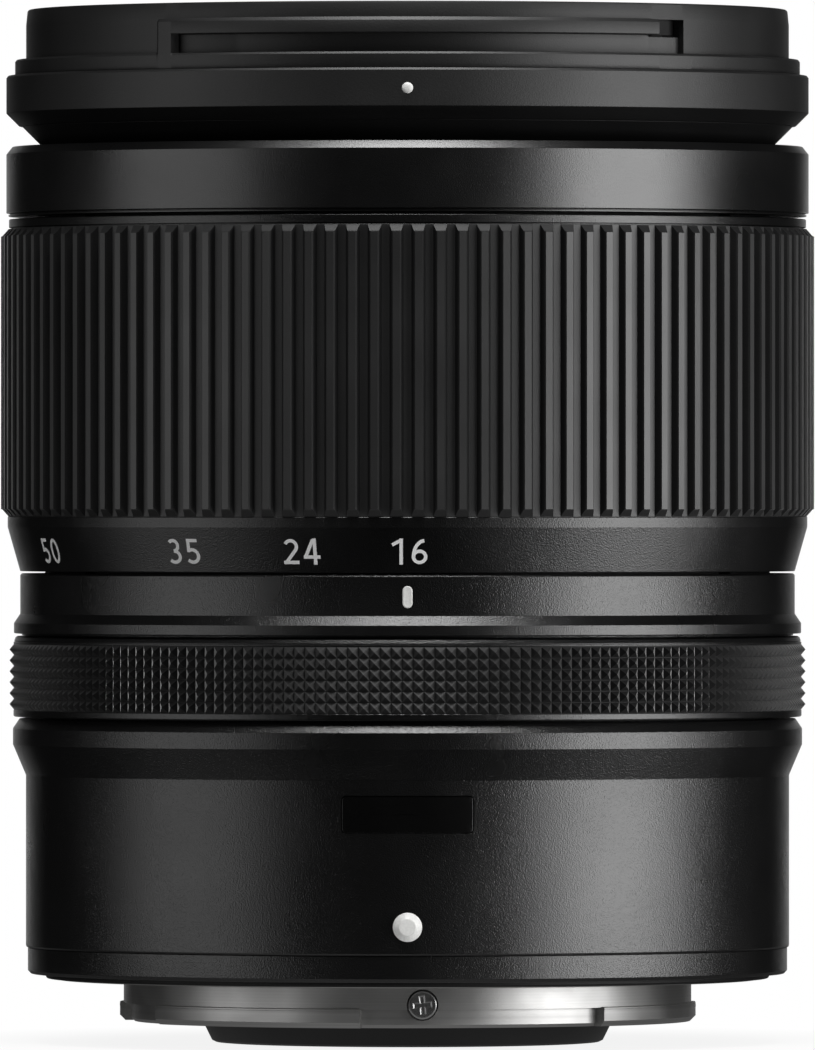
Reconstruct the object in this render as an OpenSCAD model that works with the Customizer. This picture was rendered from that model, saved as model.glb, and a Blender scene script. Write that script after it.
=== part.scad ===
// Camera zoom lens with an extending front barrel, a ribbed zoom ring and a knurled control ring.
// The optical axis is Z, the mounting flange face lies at Z = 0 and the front looks along +Z.
// The index marks face -Y.

/* [Fits] */
// Radial running gap between tubes that turn or slide in each other
run_gap = 0.15; // [0.1:0.01:0.2]
// Radial gap of a part seated on another
fit_gap = 0.08; // [0.05:0.01:0.12]
// Visible gap beside each turning ring
turn_gap = 0.44; // [0.3:0.02:0.6]
// Gap between sliding lens cells and the tubes around them
cell_gap = 0.4; // [0.3:0.05:0.6]

/* [Tubes] */
// Outer radius of the extending front barrel
front_barrel_r = 30.8; // [30.3:0.1:31.3]
// Wall of the front barrel
front_wall = 1.1; // [0.9:0.05:1.3]
// Wall of the cam barrel
cam_wall = 1; // [0.8:0.05:1.2]
// Wall of the fixed tube
tube_wall = 1.1; // [0.9:0.05:1.3]

/* [Mount] */
// Wall of the rear ring outside the seal
ring_wall = 1.57; // [1.3:0.01:1.9]
// Width of the flange from the register to its edge
flange_w = 6.3; // [5.6:0.1:7]
// Thickness of the flange
flange_t = 1.5; // [1.2:0.1:1.8]
// Height of the register from the flange face to the lugs
register_h = 2.1; // [1.9:0.05:2.4]
// How far the bayonet lugs stand out of the register
lug_out = 0.4; // [0.2:0.05:1]
// Height of the lugs
lug_h = 1.7; // [1.4:0.05:1.9]
// Step from the register in to the wall between the lugs
lug_step = 0.7; // [0.4:0.05:1]
// Wall of the mount between the lugs
mount_wall = 2.1; // [1.8:0.05:2.5]
// Distance of the mount screws from the edge of the flange
screw_inset = 3.1; // [2.7:0.05:3.5]
// Shank radius of the mount screws
screw_r = 0.85; // [0.7:0.05:1]
// Head radius of the mount screws
screw_head_r = 1.6; // [1.4:0.05:1.8]
// Head radius of the stop screw in the register
stop_head_r = 1.37; // [1.2:0.05:1.5]
// Width of the rubber seal around the flange
seal_w = 0.75; // [0.6:0.05:0.9]
// Height of the lower edge of the seal above the flange face
seal_z = 0.1; // [0.05:0.05:0.3]

/* [Rear baffle] */
// Depth of the rear rim below the flange face
baffle_depth = 5.75; // [5.3:0.05:6.2]
// Width of the baffle's plate from the mount in to its rim
plate_w = 4.8; // [4.4:0.05:5.3]
// Draft of the rim from its root to its lower edge
rim_draft = 0.7; // [0.4:0.05:1]
// Wall of the rim from its root in to the light opening
rim_wall = 3.2; // [2.8:0.05:3.6]
// Distance of the contact block outside the rim's root
block_inset = 0.6; // [0.4:0.05:0.7]
// Width of the pocket for the contact block
block_w = 2.6; // [2.4:0.05:2.8]
// Depth of that pocket in the plate
block_d = 2; // [1.8:0.05:2.2]
// Gap of the contact block in its pocket
block_gap = 0.06; // [0.04:0.01:0.08]
// How far the contact block stands below the lugs
block_drop = 0.6; // [0.4:0.05:0.8]
// Half angle of the contact block
contact_half = 30; // [27:1:33]
// Radius of a contact pad
contact_r = 0.45; // [0.35:0.05:0.55]

/* [Rear casing] */
// Height of the lower edge of the rear ring above the flange face
rear_ring_z = 0.55; // [0.4:0.05:0.8]
// Height of the rear ring
rear_ring_h = 2.39; // [2.2:0.05:2.8]
// Step from the rear barrel in to the rear ring
seam_step = 0.18; // [0.1:0.02:0.3]
// Wall of the rear barrel
body_wall = 1.68; // [1.4:0.05:1.9]
// Height of the rear barrel
body_h = 20.81; // [20:0.1:21.6]
// Outward flare at the top of the rear barrel
body_flare = 1.19; // [1:0.05:1.4]
// Height of the flare's taper
body_taper_h = 2.79; // [2.4:0.1:3.2]
// Height of the flare's rim
body_rim_h = 1.41; // [1.2:0.05:1.6]
// Height of the top bevel
body_bevel_h = 0.82; // [0.6:0.05:1]
// Width of the badge plate
badge_w = 12; // [11:0.1:13]
// Height of the badge plate
badge_h = 3.43; // [3:0.05:3.8]
// Height of the badge centre above the seam
badge_up = 12.7; // [12.2:0.1:13]
// Depth of the badge face below the casing
badge_depth = 0.22; // [0.15:0.01:0.3]
// Radius of the mount bead
bead_r = 1.32; // [1.1:0.02:1.5]
// Height of the bead centre above the seam
bead_up = 2.6; // [2.3:0.05:3]

/* [Control ring] */
// Height of the control ring
control_h = 7.16; // [6.9:0.05:7.6]
// Wall of the control ring to the bottom of its knurl
control_wall = 2.75; // [2.5:0.05:3]
// Height of the knurl
knurl_h = 0.36; // [0.25:0.02:0.45]
// Pitch of the knurl rows
knurl_pitch = 1; // [0.9:0.02:1.05]

/* [Index ring] */
// Height of the index ring
index_h = 5.24; // [5:0.05:5.6]
// Wall of the index ring
index_wall = 2.2; // [2:0.05:2.4]
// Outward flare of its rim
index_flare = 0.58; // [0.4:0.02:0.7]
// Height of its rim
index_rim_h = 0.83; // [0.7:0.05:1]
// Width of the index mark
mark_w = 0.9; // [0.7:0.05:1.1]
// Length of the index mark
mark_h = 2; // [1.7:0.05:2.3]

/* [Zoom ring] */
// Height of the tapered scale
scale_h = 3.96; // [3.7:0.05:4.3]
// Height of the band between scale and grip
band_h = 0.94; // [0.8:0.05:1.1]
// Height of the rubber grip
grip_h = 26.31; // [25.5:0.1:27]
// Gap above the rubber grip
grip_gap = 0.12; // [0.08:0.02:0.2]
// Height of the rim in front of the grip
front_band_h = 0.78; // [0.6:0.05:1]
// Wall of the zoom ring under the grip
zoom_wall = 1.2; // [1:0.05:1.3]
// Depth of the hollow between the zoom ring's lands
zoom_hollow = 1.55; // [1.4:0.05:1.7]
// Thickness of the grip below its ribs
grip_base = 0.45; // [0.35:0.05:0.6]
// Height of the grip's ribs
rib_h = 0.62; // [0.45:0.02:0.75]
// Number of ribs
rib_count = 117; // [111:1:120]
// Inward taper of the scale
scale_taper = 1.15; // [1:0.05:1.3]

/* [Front rings] */
// Height of the fixed front ring
trim_h = 6.18; // [6:0.05:6.5]
// Wall of the fixed front ring on the tube
trim_wall = 3.47; // [3.2:0.05:3.7]
// Bevel of its upper edge
trim_bevel = 0.7; // [0.5:0.05:0.9]
// Length of the tube inside the front ring
trim_seat_h = 2.7; // [2.4:0.05:2.9]
// Height of the collar above the front ring
collar_stand = 1.9; // [1.7:0.05:2.2]
// Height of the collar
collar_h = 4.6; // [4.3:0.05:4.9]
// Flare of the cone below the collar
cone_flare = 4.53; // [4:0.01:5]
// Gap between the cone's foot and the front ring
foot_gap = 0.25; // [0.2:0.05:0.4]
// Step from the cone out to the collar
collar_step = 1.42; // [1.2:0.02:1.7]
// Height of the shelf above the collar
shelf_h = 1; // [0.9:0.05:1.2]
// Width of the shelf from the barrel's bore out to the thread, whose crests fit a 67 mm filter
shelf_w = 3.4; // [3:0.05:3.8]
// Height of the thread above the shelf
thread_up = 1.55; // [1.45:0.05:1.7]
// Step from the thread in to the seat of the plain ring on the shelf
seat_step = 0.5; // [0.45:0.05:0.6]
// Thickness of the rim of the plain ring on the shelf
name_t = 0.8; // [0.7:0.05:0.9]
// Height of that ring above the shelf's inner edge
name_edge = 0.3; // [0.2:0.05:0.5]
// How far that ring laps over the front glass
name_lap = 0.7; // [0.5:0.05:1]
// Gap between the front glass and that ring
glass_gap = 0.15; // [0.1:0.01:0.2]
// Wall of the filter ring
filter_wall = 1.84; // [1.6:0.02:2]
// Height of the filter ring
filter_h = 6.03; // [5.8:0.05:6.4]
// Step of the hood bayonet beyond the filter ring
hood_step = 1.01; // [0.8:0.02:1.15]
// Height of the hood bayonet's lower step
hood_step_h = 1.45; // [1.3:0.05:1.6]
// Height of the hood slot above the lower step
hood_slot_h = 1.72; // [1.5:0.05:1.9]
// Height of the hood rail
hood_rail_h = 1.38; // [1.2:0.05:1.5]
// Depth of the hood slot below the filter ring's surface
hood_slot_d = 0.6; // [0.4:0.05:0.7]
// Radius of the hood index dot
dot_r = 0.55; // [0.45:0.02:0.65]

/* [Zoom drive] */
// Turn of the zoom ring from the short to the long end
zoom_angle = 65.5; // [60:0.5:70]
// Travel of the front group
front_travel = 24; // [22:0.5:25]
// Travel of the second group
second_travel = 4; // [3:0.25:5]
// Travel of the third group
third_travel = 13; // [12:0.25:13.5]
// Radius of the cam followers
follower_r = 1; // [0.8:0.05:1.1]
// Side gap of a follower in its slot
follower_gap = 0.08; // [0.05:0.01:0.1]
// How much wider the round ends of a cam slot are, all round
end_ease = 0.06; // [0.03:0.01:0.2]
// Width of the zoom key
key_w = 4; // [3:0.1:4.5]
// Height of the zoom key
key_h = 2.6; // [2:0.1:3]

/* [Front group glass] */
// Wall of the front cell around the first front lens
front_cell_wall = 3.4; // [3:0.05:3.8]
// Height of the front glass above the shelf
glass_up = 0.75; // [0.6:0.05:0.8]
// Step in radius from lens to lens within a cell
lens_step = 1; // [0.8:0.05:1.2]
// Radial width of a lens seat
lens_lip = 0.9; // [0.7:0.05:1.1]
// Gap between cemented faces
cement_gap = 0.05; // [0.03:0.01:0.1]
// Thickness of the first front lens
l1_t = 1.8; // [1.5:0.1:2.2]
// Curve of its front face
l1_f = 150; // [130:5:170]
// Curve of its rear face, shared with the second front lens
l1_b = 60; // [58:1:70]
// Edge thickness of the second front lens
l2_edge = 0.6; // [0.4:0.1:1.2]
// Curve of its rear face
l2_b = -200; // [-240:10:-180]
// Air in front of the third front lens
l3_air = 0.9; // [0.7:0.1:1.2]
// Thickness of the third front lens
l3_t = 5.6; // [5.2:0.1:6]
// Curve of its front face
l3_f = 55; // [52:1:60]
// Curve of its rear face
l3_b = 160; // [140:5:180]

/* [Second group glass] */
// Radius of the first lens of the second group
second_lens_r = 17; // [16.5:0.1:17.3]
// Air between the front and the second group
second_air = 2.5; // [2:0.1:3]
// Thickness of the first lens
l4_t = 1.3; // [1:0.1:1.6]
// Curve of its front face
l4_f = 80; // [70:5:90]
// Curve of its rear face
l4_b = 24; // [23:0.5:27]
// Air between the rims of the first and the second lens
l5_air = 1.96; // [1.6:0.02:2.4]
// Thickness of the second lens
l5_t = 1.3; // [1:0.1:1.6]
// Curve of its front face
l5_f = -45; // [-50:1:-42]
// Curve of its rear face
l5_b = 40; // [38:1:46]
// Air between the second and the third lens
l6_air = 0.5; // [0.4:0.1:0.8]
// Edge thickness of the third lens
l6_edge = 1.06; // [0.8:0.02:1.3]
// Curve of its front face
l6_f = 32; // [31:0.5:34]
// Curve of its rear face
l6_b = -70; // [-80:5:-60]

/* [Third group glass] */
// Radius of the first lens of the third group
third_lens_r = 11; // [10.6:0.1:11.4]
// Thickness of the first lens
l7_t = 4.2; // [4:0.1:4.6]
// Curve of its front face
l7_f = 28; // [27:0.5:30]
// Curve of its rear face
l7_b = -60; // [-70:5:-55]
// Air between the first and the second lens
l8_air = 0.6; // [0.5:0.1:0.9]
// Thickness of the second lens
l8_t = 1.2; // [1:0.1:1.5]
// Curve of its front face
l8_f = -150; // [-170:10:-130]
// Curve of its rear face, shared with the third lens
l8_b = 22; // [21:0.5:24]
// Thickness of the third lens
l9_t = 4; // [3.8:0.1:4.4]
// Curve of its rear face
l9_b = -45; // [-50:1:-42]

/* [Focus and rear glass] */
// Radius of the focus lens
focus_lens_r = 11.5; // [11:0.1:12]
// Thickness of the focus lens
l10_t = 1.2; // [1:0.1:1.5]
// Curve of its front face
l10_f = 60; // [54:2:70]
// Curve of its rear face
l10_b = 30; // [28:1:34]
// Travel of the focus group
focus_travel = 4; // [3:0.25:4.5]
// How far the rear lens reaches behind the rim of the light opening
rear_lens_lap = 0.3; // [0.2:0.05:0.5]
// Edge thickness of the rear lens
l11_edge = 1.03; // [0.8:0.01:1.3]
// Curve of its front face
l11_f = 40; // [38:1:44]
// Curve of its rear face
l11_b = -90; // [-100:5:-80]

/* [Aperture] */
// Radius of the full aperture
iris_r = 9.6; // [9.2:0.1:10]
// Width of a blade
blade_w = 4.6; // [4.3:0.1:4.9]
// Thickness of a blade
blade_t = 0.14; // [0.1:0.01:0.16]
// Height from blade to blade
blade_pitch = 0.26; // [0.24:0.01:0.3]
// Distance from a blade's pivot to its drive pin
drive_arm = 4; // [3.8:0.1:4.3]
// Swing of a blade from open to closed
blade_swing = 32; // [28:1:33]

/* [Focus drive] */
// Height of the rear frame's plate above the flange face
frame_z = 8.3; // [7.9:0.1:8.6]
// Thickness of that plate
frame_t = 1.5; // [1.3:0.05:1.7]
// Height of the rear lens holder above the flange face
holder_z = 1.3; // [1.2:0.05:1.5]
// Wall of the holder
holder_wall = 1.6; // [1.4:0.05:1.8]
// Height of the focus cell
focus_h = 4; // [3.7:0.1:4.3]
// Gap between the rear frame and the focus cell
focus_gap = 0.5; // [0.4:0.05:0.7]
// Length of the guide rods beyond the focus travel
rod_spare = 2.5; // [2:0.1:3]
// Thickness of the circuit board
board_t = 1; // [0.8:0.05:1.2]
// Gap between the circuit board and the holder
board_gap = 0.6; // [0.5:0.05:0.8]
// Distance of the board's edge from the circle of the mount screws
board_inset = 2.4; // [2.2:0.05:2.7]
// Radius of the guide rods
rod_r = 0.8; // [0.7:0.05:1]
// Distance of the guide rods outside the rear lens
rod_out = 3; // [2.7:0.1:3.4]
// Radius of the lead screw
lead_r = 0.8; // [0.7:0.05:0.95]
// Distance of the lead screw outside the rear lens
lead_out = 5.6; // [5.4:0.1:6.2]
// Radius of the focus motor
motor_r = 3.2; // [2.8:0.1:3.4]

/* [Hidden] */
$fn = 120;
index_angle = -90;
pin_angle = 90;
key_angle = 0;
lead_angle = 110;
rod_angle = 20;
blade_count = 7;
cut = 1;

plastic = [0.09, 0.09, 0.095];
inner_plastic = [0.16, 0.16, 0.17];
metal = [0.78, 0.78, 0.77];
brass = [0.75, 0.6, 0.3];
rubber = [0.13, 0.13, 0.13];
white = [0.92, 0.92, 0.9];
glass = [0.55, 0.68, 0.72, 0.5];
steel = [0.6, 0.61, 0.63];
board_green = [0.08, 0.28, 0.16];

front_bore_r = front_barrel_r - front_wall;
cam_bore_r = front_barrel_r + run_gap;
cam_r = cam_bore_r + cam_wall;
cam_mid_r = (cam_bore_r + cam_r) / 2;
tube_bore_r = cam_r + run_gap;
tube_r = tube_bore_r + tube_wall;
seat_r = tube_r + fit_gap;
ride_r = tube_r + run_gap;
body_r = seat_r + body_wall;
body_flare_r = body_r + body_flare;
rear_ring_r = body_r - seam_step;
ring_bore_r = rear_ring_r - ring_wall;
seal_r = ring_bore_r - fit_gap;
flange_r = seal_r - seal_w - fit_gap;
screw_circle_r = flange_r - screw_inset;
register_r = flange_r - flange_w;
lug_r = register_r + lug_out;
lug_root_r = register_r - lug_step;
mount_bore_r = lug_root_r - mount_wall;
baffle_root_r = mount_bore_r - plate_w;
block_r = baffle_root_r + block_inset;
baffle_rim_r = baffle_root_r - rim_draft;
baffle_open_r = baffle_root_r - rim_wall;
control_r = ride_r + control_wall;
index_r = seat_r + index_wall;
zoom_r = ride_r + zoom_hollow + zoom_wall;
grip_bore_r = zoom_r + fit_gap;
grip_floor_r = grip_bore_r + grip_base;
grip_r = grip_floor_r + rib_h;
trim_r = seat_r + trim_wall;
cone_r = front_barrel_r + cone_flare;
collar_r = cone_r + collar_step;
filter_bore_r = front_bore_r + shelf_w;
filter_r = filter_bore_r + filter_wall;
hood_r = filter_r + hood_step;

seam_z = rear_ring_z + rear_ring_h;
body_top_z = seam_z + body_h;
control_z = body_top_z + turn_gap;
control_top_z = control_z + control_h;
index_z = control_top_z + turn_gap;
index_top_z = index_z + index_h;
zoom_z = index_top_z + turn_gap;
scale_top_z = zoom_z + scale_h;
grip_z = scale_top_z + band_h;
grip_top_z = grip_z + grip_h;
zoom_top_z = grip_top_z + grip_gap + front_band_h;
trim_z = zoom_top_z + turn_gap;
trim_top_z = trim_z + trim_h;
tube_top_z = trim_z + trim_seat_h;
lip_top_z = tube_top_z + 0.6;
cone_foot_z = lip_top_z + foot_gap;
collar_z = trim_top_z + collar_stand;
collar_top_z = collar_z + collar_h;
hood_step_z = collar_top_z + hood_step_h;
rail_z = hood_step_z + hood_slot_h;
rail_top_z = rail_z + hood_rail_h;
filter_top_z = collar_top_z + filter_h;
shelf_z = collar_top_z + shelf_h;
thread_z = shelf_z + thread_up;
name_seat_r = filter_bore_r - seat_step;
lug_z = -register_h - lug_h;

ledge_z = body_top_z - 0.2;
cam_z = ledge_z + 0.1;
cam_top_z = tube_top_z - 0.3;
third_pin_z = ledge_z + 2;
front_pin_z = tube_top_z - front_travel - 2.6;
second_pin_z = front_pin_z - 5.2;
front_tail_z = front_pin_z - 2.3;
key_z = (grip_z + grip_top_z) / 2;
follower_end_r = tube_r - 0.15;
slot_half = follower_r + follower_gap;

front_lens_r = front_bore_r - front_cell_wall;
lens2_r = front_lens_r - lens_step;
lens3_r = lens2_r - lens_step;
lens5_r = second_lens_r - 2 * lens_step;
lens6_r = lens5_r - lens_step;
lens8_r = third_lens_r - lens_step;
lens9_r = lens8_r - lens_step;

rear_lens_r = baffle_open_r + rear_lens_lap;
rod_circle_r = rear_lens_r + rod_out;
lead_circle_r = rear_lens_r + lead_out;
l2_t = l2_edge + sag(l1_b, lens2_r) - sag(l2_b, lens2_r);
l6_t = l6_edge + sag(l6_f, lens6_r) - sag(l6_b, lens6_r);
l11_t = l11_edge + sag(l11_f, rear_lens_r) - sag(l11_b, rear_lens_r);
l1_z = shelf_z + glass_up;
name_in_r = front_lens_r - name_lap;
front_cell_top_z = l1_z - sag(l1_f, name_in_r) + glass_gap;
l2_z = l1_z - l1_t - cement_gap;
l3_z = l2_z - l2_t - l3_air;
l4_z = l3_z - l3_t - second_air;
l5_z = l4_z - l4_t - l5_air - sag(l4_b, lens5_r) + sag(l5_f, lens5_r);
l6_z = l5_z - l5_t - l6_air;
front_cell_z = seat(l3_z - l3_t, l3_b, lens3_r) - 1.2;
second_cell_z = l6_z - l6_t - 0.9;
second_cell_top_z = l4_z - sag(l4_f, second_lens_r) + 0.3;
skirt_z = second_pin_z - follower_r - 0.6;
second_r = second_lens_r + fit_gap + 1.8;
skirt_r = front_bore_r - cell_gap;

frame_top_z = frame_z + frame_t;
l11_z = frame_z - 0.3;
holder_r = rear_lens_r + fit_gap + holder_wall;
focus_z = frame_top_z + focus_gap;
focus_top_z = focus_z + focus_h;
l10_z = focus_top_z + 0.2;
rod_top_z = focus_top_z + focus_travel + rod_spare;

third_disc_z = third_pin_z - 1.4;
third_disc_top_z = third_pin_z + 1.4;
third_top_z = third_pin_z + 7.4;
l7_z = third_top_z - 0.4;
l8_z = l7_z - l7_t - l8_air;
l9_z = l8_z - l8_t - cement_gap;
third_low_z = seat(l9_z - l9_t, l9_b, lens9_r) - 1.2;
third_r = third_lens_r + fit_gap + 1.5;

blade_in_r = iris_r + 0.4;
blade_out_r = blade_in_r + blade_w;
pivot_r = blade_out_r + 1.2;
drive_r = pivot_r + drive_arm;
pivot_pin_r = 0.45;
drive_pin_r = 0.4;
unit_r = drive_r + 2.2;
unit_wall = 0.9;
plate_t = 0.6;
ring_low_z = third_top_z + plate_t + 0.1;
ring_top_z = ring_low_z + 0.6;
first_blade_z = ring_top_z + 0.15;
cover_z = first_blade_z + blade_count * blade_pitch + 0.05;
drive_in_r = drive_r - 1.4;
drive_out_r = unit_r - unit_wall - 0.2;

// Depth of a curved face at a radius, positive when its rim lies behind its centre
function sag(c, r) = c - sign(c) * sqrt(c * c - r * r);

// Height of the seat that carries a lens under its rear face
function seat(z, c, r) = z - max(sag(c, r), sag(c, r - lens_lip)) - 0.02;

// A body of revolution from its half section
module turned(points) {
  rotate_extrude() polygon(points);
}

// Part of a body of revolution
module turned_part(points, first, width) {
  rotate(first) rotate_extrude(angle = width) polygon(points);
}

// A plain ring
module band(r_out, r_in, z, h) {
  turned([[r_in, z], [r_out, z], [r_out, z + h], [r_in, z + h]]);
}

// Children standing on a radius, their Z pointing outward
module radial(a, z) {
  rotate(a) translate([0, 0, z]) rotate([0, 90, 0]) children();
}

// Children repeated around the axis
module around(count, first) {
  for (i = [0 : count - 1]) rotate(first + i * 360 / count) children();
}

// A glass lens from its front centre height, thickness, two face curves and radius
module lens(z, t, f, b, r) {
  top = z + max(0, -sag(f, r)) + cut;
  low = z - t - max(0, sag(b, r)) - cut;
  difference() {
    intersection() {
      translate([0, 0, low]) cylinder(r = r, h = top - low);
      union() {
        if (f > 0) translate([0, 0, z - f]) sphere(r = f, $fn = 260);
        if (f < 0) translate([0, 0, low - cut]) cylinder(r = r + cut, h = top - low + 2 * cut);
      }
      union() {
        if (b < 0) translate([0, 0, z - t - b]) sphere(r = -b, $fn = 260);
        if (b > 0) translate([0, 0, low - cut]) cylinder(r = r + cut, h = top - low + 2 * cut);
      }
    }
    if (f < 0) translate([0, 0, z - f]) sphere(r = -f, $fn = 260);
    if (b > 0) translate([0, 0, z - t - b]) sphere(r = b, $fn = 260);
  }
}

// Pocket for a lens, open to the front
module pocket(z, t, b, r, top) {
  low = seat(z - t, b, r);
  translate([0, 0, low]) cylinder(r = r + fit_gap, h = top - low + cut);
}

// A flat bar with round ends, width by height, upright
module stadium(w, h) {
  square([w, h - w], center = true);
  translate([0, (h - w) / 2]) circle(d = w);
  translate([0, (w - h) / 2]) circle(d = w);
}

// A rectangle with round corners
module round_rect(w, h, r) {
  square([w - 2 * r, h], center = true);
  square([w, h - 2 * r], center = true);
  for (x = [-1, 1]) {
    for (y = [-1, 1]) translate([x * (w / 2 - r), y * (h / 2 - r)]) circle(r = r);
  }
}

// A flat shape wrapped between two radii at an angle and height
module inlay(a, z, r_in, r_out) {
  intersection() {
    rotate(a) translate([0, 0, z]) rotate([90, 0, 90]) linear_extrude(height = r_out + 2) children();
    band(r_out, r_in, z - 10, 20);
  }
}

// Three follower pins around the axis
module followers(z, r_in) {
  for (i = [0 : 2]) {
    radial(pin_angle + 120 * i, z) translate([0, 0, r_in]) cylinder(r = follower_r, h = follower_end_r - r_in);
  }
}

// Three holes for the follower pins
module follower_holes(z, r_in, r_out) {
  for (i = [0 : 2]) {
    radial(pin_angle + 120 * i, z) translate([0, 0, r_in]) cylinder(r = follower_r + 0.02, h = r_out - r_in);
  }
}

// A cam slot that climbs as it runs back around the cam barrel
module cam_slot(a, z, rise) {
  steps = 16;
  arc = cam_mid_r * zoom_angle * PI / 180;
  run = sqrt(arc * arc + rise * rise);
  turn = slot_half * rise / run / cam_mid_r * 180 / PI;
  lift = slot_half * arc / run;
  sides = [[-1, cam_bore_r - cut], [1, cam_bore_r - cut], [1, cam_r + cut], [-1, cam_r + cut]];
  corners = [for (i = [0 : steps]) for (s = sides)
    let (w = a - zoom_angle * i / steps + s[0] * turn)
    [s[1] * cos(w), s[1] * sin(w), z + rise * i / steps + s[0] * lift]];
  walls = [for (i = [0 : steps - 1]) for (j = [0 : 3]) for (half = [0, 1])
    let (p = 4 * i + j, q = 4 * i + (j + 1) % 4)
    half == 0 ? [p, q, q + 4] : [p, q + 4, p + 4]];
  ends = [[3, 2, 1, 0], [4 * steps, 4 * steps + 1, 4 * steps + 2, 4 * steps + 3]];
  polyhedron(points = corners, faces = concat(walls, ends), convexity = 4);
  radial(a, z) translate([0, 0, cam_bore_r - cut]) cylinder(r = slot_half + end_ease, h = cam_wall + 2 * cut);
  radial(a - zoom_angle, z + rise) translate([0, 0, cam_bore_r - cut])
    cylinder(r = slot_half + end_ease, h = cam_wall + 2 * cut);
}

// Metal bayonet with flange, register and four lugs
module bayonet_mount() color(metal) {
  lug = [[lug_root_r - 0.6, lug_z], [lug_r - 0.5, lug_z], [lug_r, lug_z + 0.5], [lug_r, -register_h],
    [lug_r - 0.05, 0.05 - register_h], [lug_root_r - 0.6, 0.05 - register_h]];
  difference() {
    union() {
      turned([[mount_bore_r, lug_z], [lug_root_r - 0.3, lug_z], [lug_root_r, lug_z + 0.3],
        [lug_root_r, -register_h], [register_r, -register_h], [register_r, 0], [flange_r - 0.2, 0],
        [flange_r, 0.2], [flange_r, flange_t], [mount_bore_r, flange_t]]);
      turned_part(lug, index_angle - 60.4, 50.9);
      turned_part(lug, index_angle + 42.5, 50);
      turned_part(lug, index_angle + 132, 45);
      turned_part(lug, index_angle + 220, 47);
    }
    around(4, 45) translate([screw_circle_r, 0, -cut]) cylinder(r = screw_r + 0.1, h = flange_t + 2 * cut);
    around(4, 45) translate([screw_circle_r, 0, 0]) screw_sink(screw_head_r + 0.05);
    radial(index_angle + 3, -register_h + 0.4) translate([0, 0, mount_bore_r - cut])
      cylinder(r = 0.78, h = 4);
    radial(index_angle + 3, -register_h + 0.4) translate([0, 0, mount_bore_r + 1.2])
      cylinder(r = stop_head_r + 0.06, h = 4);
  }
}

// Countersink that opens at the flange face
module screw_sink(r) {
  translate([0, 0, -cut]) cylinder(r = r, h = cut + 0.15);
  translate([0, 0, 0.15]) cylinder(r1 = r, r2 = screw_r, h = r - screw_r);
}

// Cross recess cut upward from a face
module cross_recess(r, depth) {
  translate([-r, -0.16, -cut]) cube([2 * r, 0.32, cut + depth]);
  translate([-0.16, -r, -cut]) cube([0.32, 2 * r, cut + depth]);
}

// Four countersunk screws that hold the mount
module mount_screws() color(steel) {
  around(4, 45) translate([screw_circle_r, 0, 0.03]) difference() {
    turned([[0, 0], [screw_head_r, 0], [screw_head_r, 0.12], [screw_r, 0.12 + screw_head_r - screw_r],
      [screw_r, frame_z - 1.5], [0, frame_z - 1.5]]);
    cross_recess(0.9, 0.5);
  }
}

// Round screw in the register that stops the bayonet's turn
module bayonet_stop_screw() color(steel) {
  radial(index_angle + 3, -register_h + 0.4) difference() {
    union() {
      translate([0, 0, mount_bore_r + 0.1]) cylinder(r = 0.74, h = 1.3);
      translate([0, 0, mount_bore_r + 1.24]) cylinder(r = stop_head_r, h = register_r - mount_bore_r - 1.3);
    }
    translate([0, 0, register_r - 0.06]) rotate([180, 0, 45]) cross_recess(0.85, 0.4);
  }
}

// Rubber seal around the flange
module mount_seal() color(rubber) {
  turned([[flange_r + fit_gap, seal_z + 0.2], [flange_r + fit_gap + 0.2, seal_z], [seal_r - 0.25, seal_z],
    [seal_r, seal_z + 0.25], [seal_r, flange_t], [flange_r + fit_gap, flange_t]]);
}

// Black light baffle inside the mount
module rear_baffle() color(plastic) {
  collar_out = mount_bore_r - fit_gap;
  plate_z = lug_z + 0.2;
  difference() {
    turned([[baffle_open_r, -baffle_depth + 0.5], [baffle_open_r + 0.5, -baffle_depth],
      [baffle_rim_r - 0.5, -baffle_depth], [baffle_rim_r - 0.12, -baffle_depth + 0.16],
      [baffle_rim_r, -baffle_depth + 0.5], [baffle_root_r, plate_z], [collar_out, plate_z],
      [collar_out, flange_t], [collar_out + 1.2, flange_t], [collar_out + 1.2, flange_t + 0.6],
      [collar_out - 1.1, flange_t + 0.6], [collar_out - 1.1, plate_z + 1], [baffle_open_r + 1, plate_z + 1],
      [baffle_open_r + 1, holder_z - 0.1], [baffle_open_r, holder_z - 0.1]]);
    turned_part([[block_r, plate_z - cut], [block_r + block_w, plate_z - cut],
      [block_r + block_w, plate_z + block_d], [block_r, plate_z + block_d]],
      90 - contact_half, 2 * contact_half);
  }
}

// Insulating block that carries the contacts
module contact_block() color(inner_plastic) {
  low = lug_z - block_drop;
  top = lug_z + block_d - 0.4;
  in_r = block_r + block_gap;
  out_r = block_r + block_w - block_gap;
  difference() {
    turned_part([[in_r, low], [out_r, low], [out_r, top], [in_r, top]],
      90 - contact_half + 0.2, 2 * contact_half - 0.4);
    contacts(contact_r + 0.03, low - cut, low + 1.3);
  }
}

// Eleven round contacts along the block
module contacts(r, z, top) {
  for (i = [-5 : 5]) {
    rotate(90 + 5 * i) translate([block_r + block_w / 2, 0, z]) cylinder(r = r, h = top - z, $fn = 32);
  }
}

// Gold contacts in the block
module contact_pads() color(brass) {
  contacts(contact_r, lug_z - block_drop - 0.25, lug_z - block_drop + 1.25);
}

// Rear ring around the flange
module rear_ring() color(plastic) {
  shelf_r = screw_circle_r - 2.2;
  difference() {
    turned([[shelf_r, flange_t], [ring_bore_r, flange_t], [ring_bore_r, rear_ring_z],
      [rear_ring_r - 0.45, rear_ring_z], [rear_ring_r, rear_ring_z + 0.45], [rear_ring_r, seam_z],
      [shelf_r, seam_z]]);
    around(4, 45) translate([screw_circle_r, 0, flange_t - cut]) cylinder(r = screw_r + 0.15, h = 4);
  }
}

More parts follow.
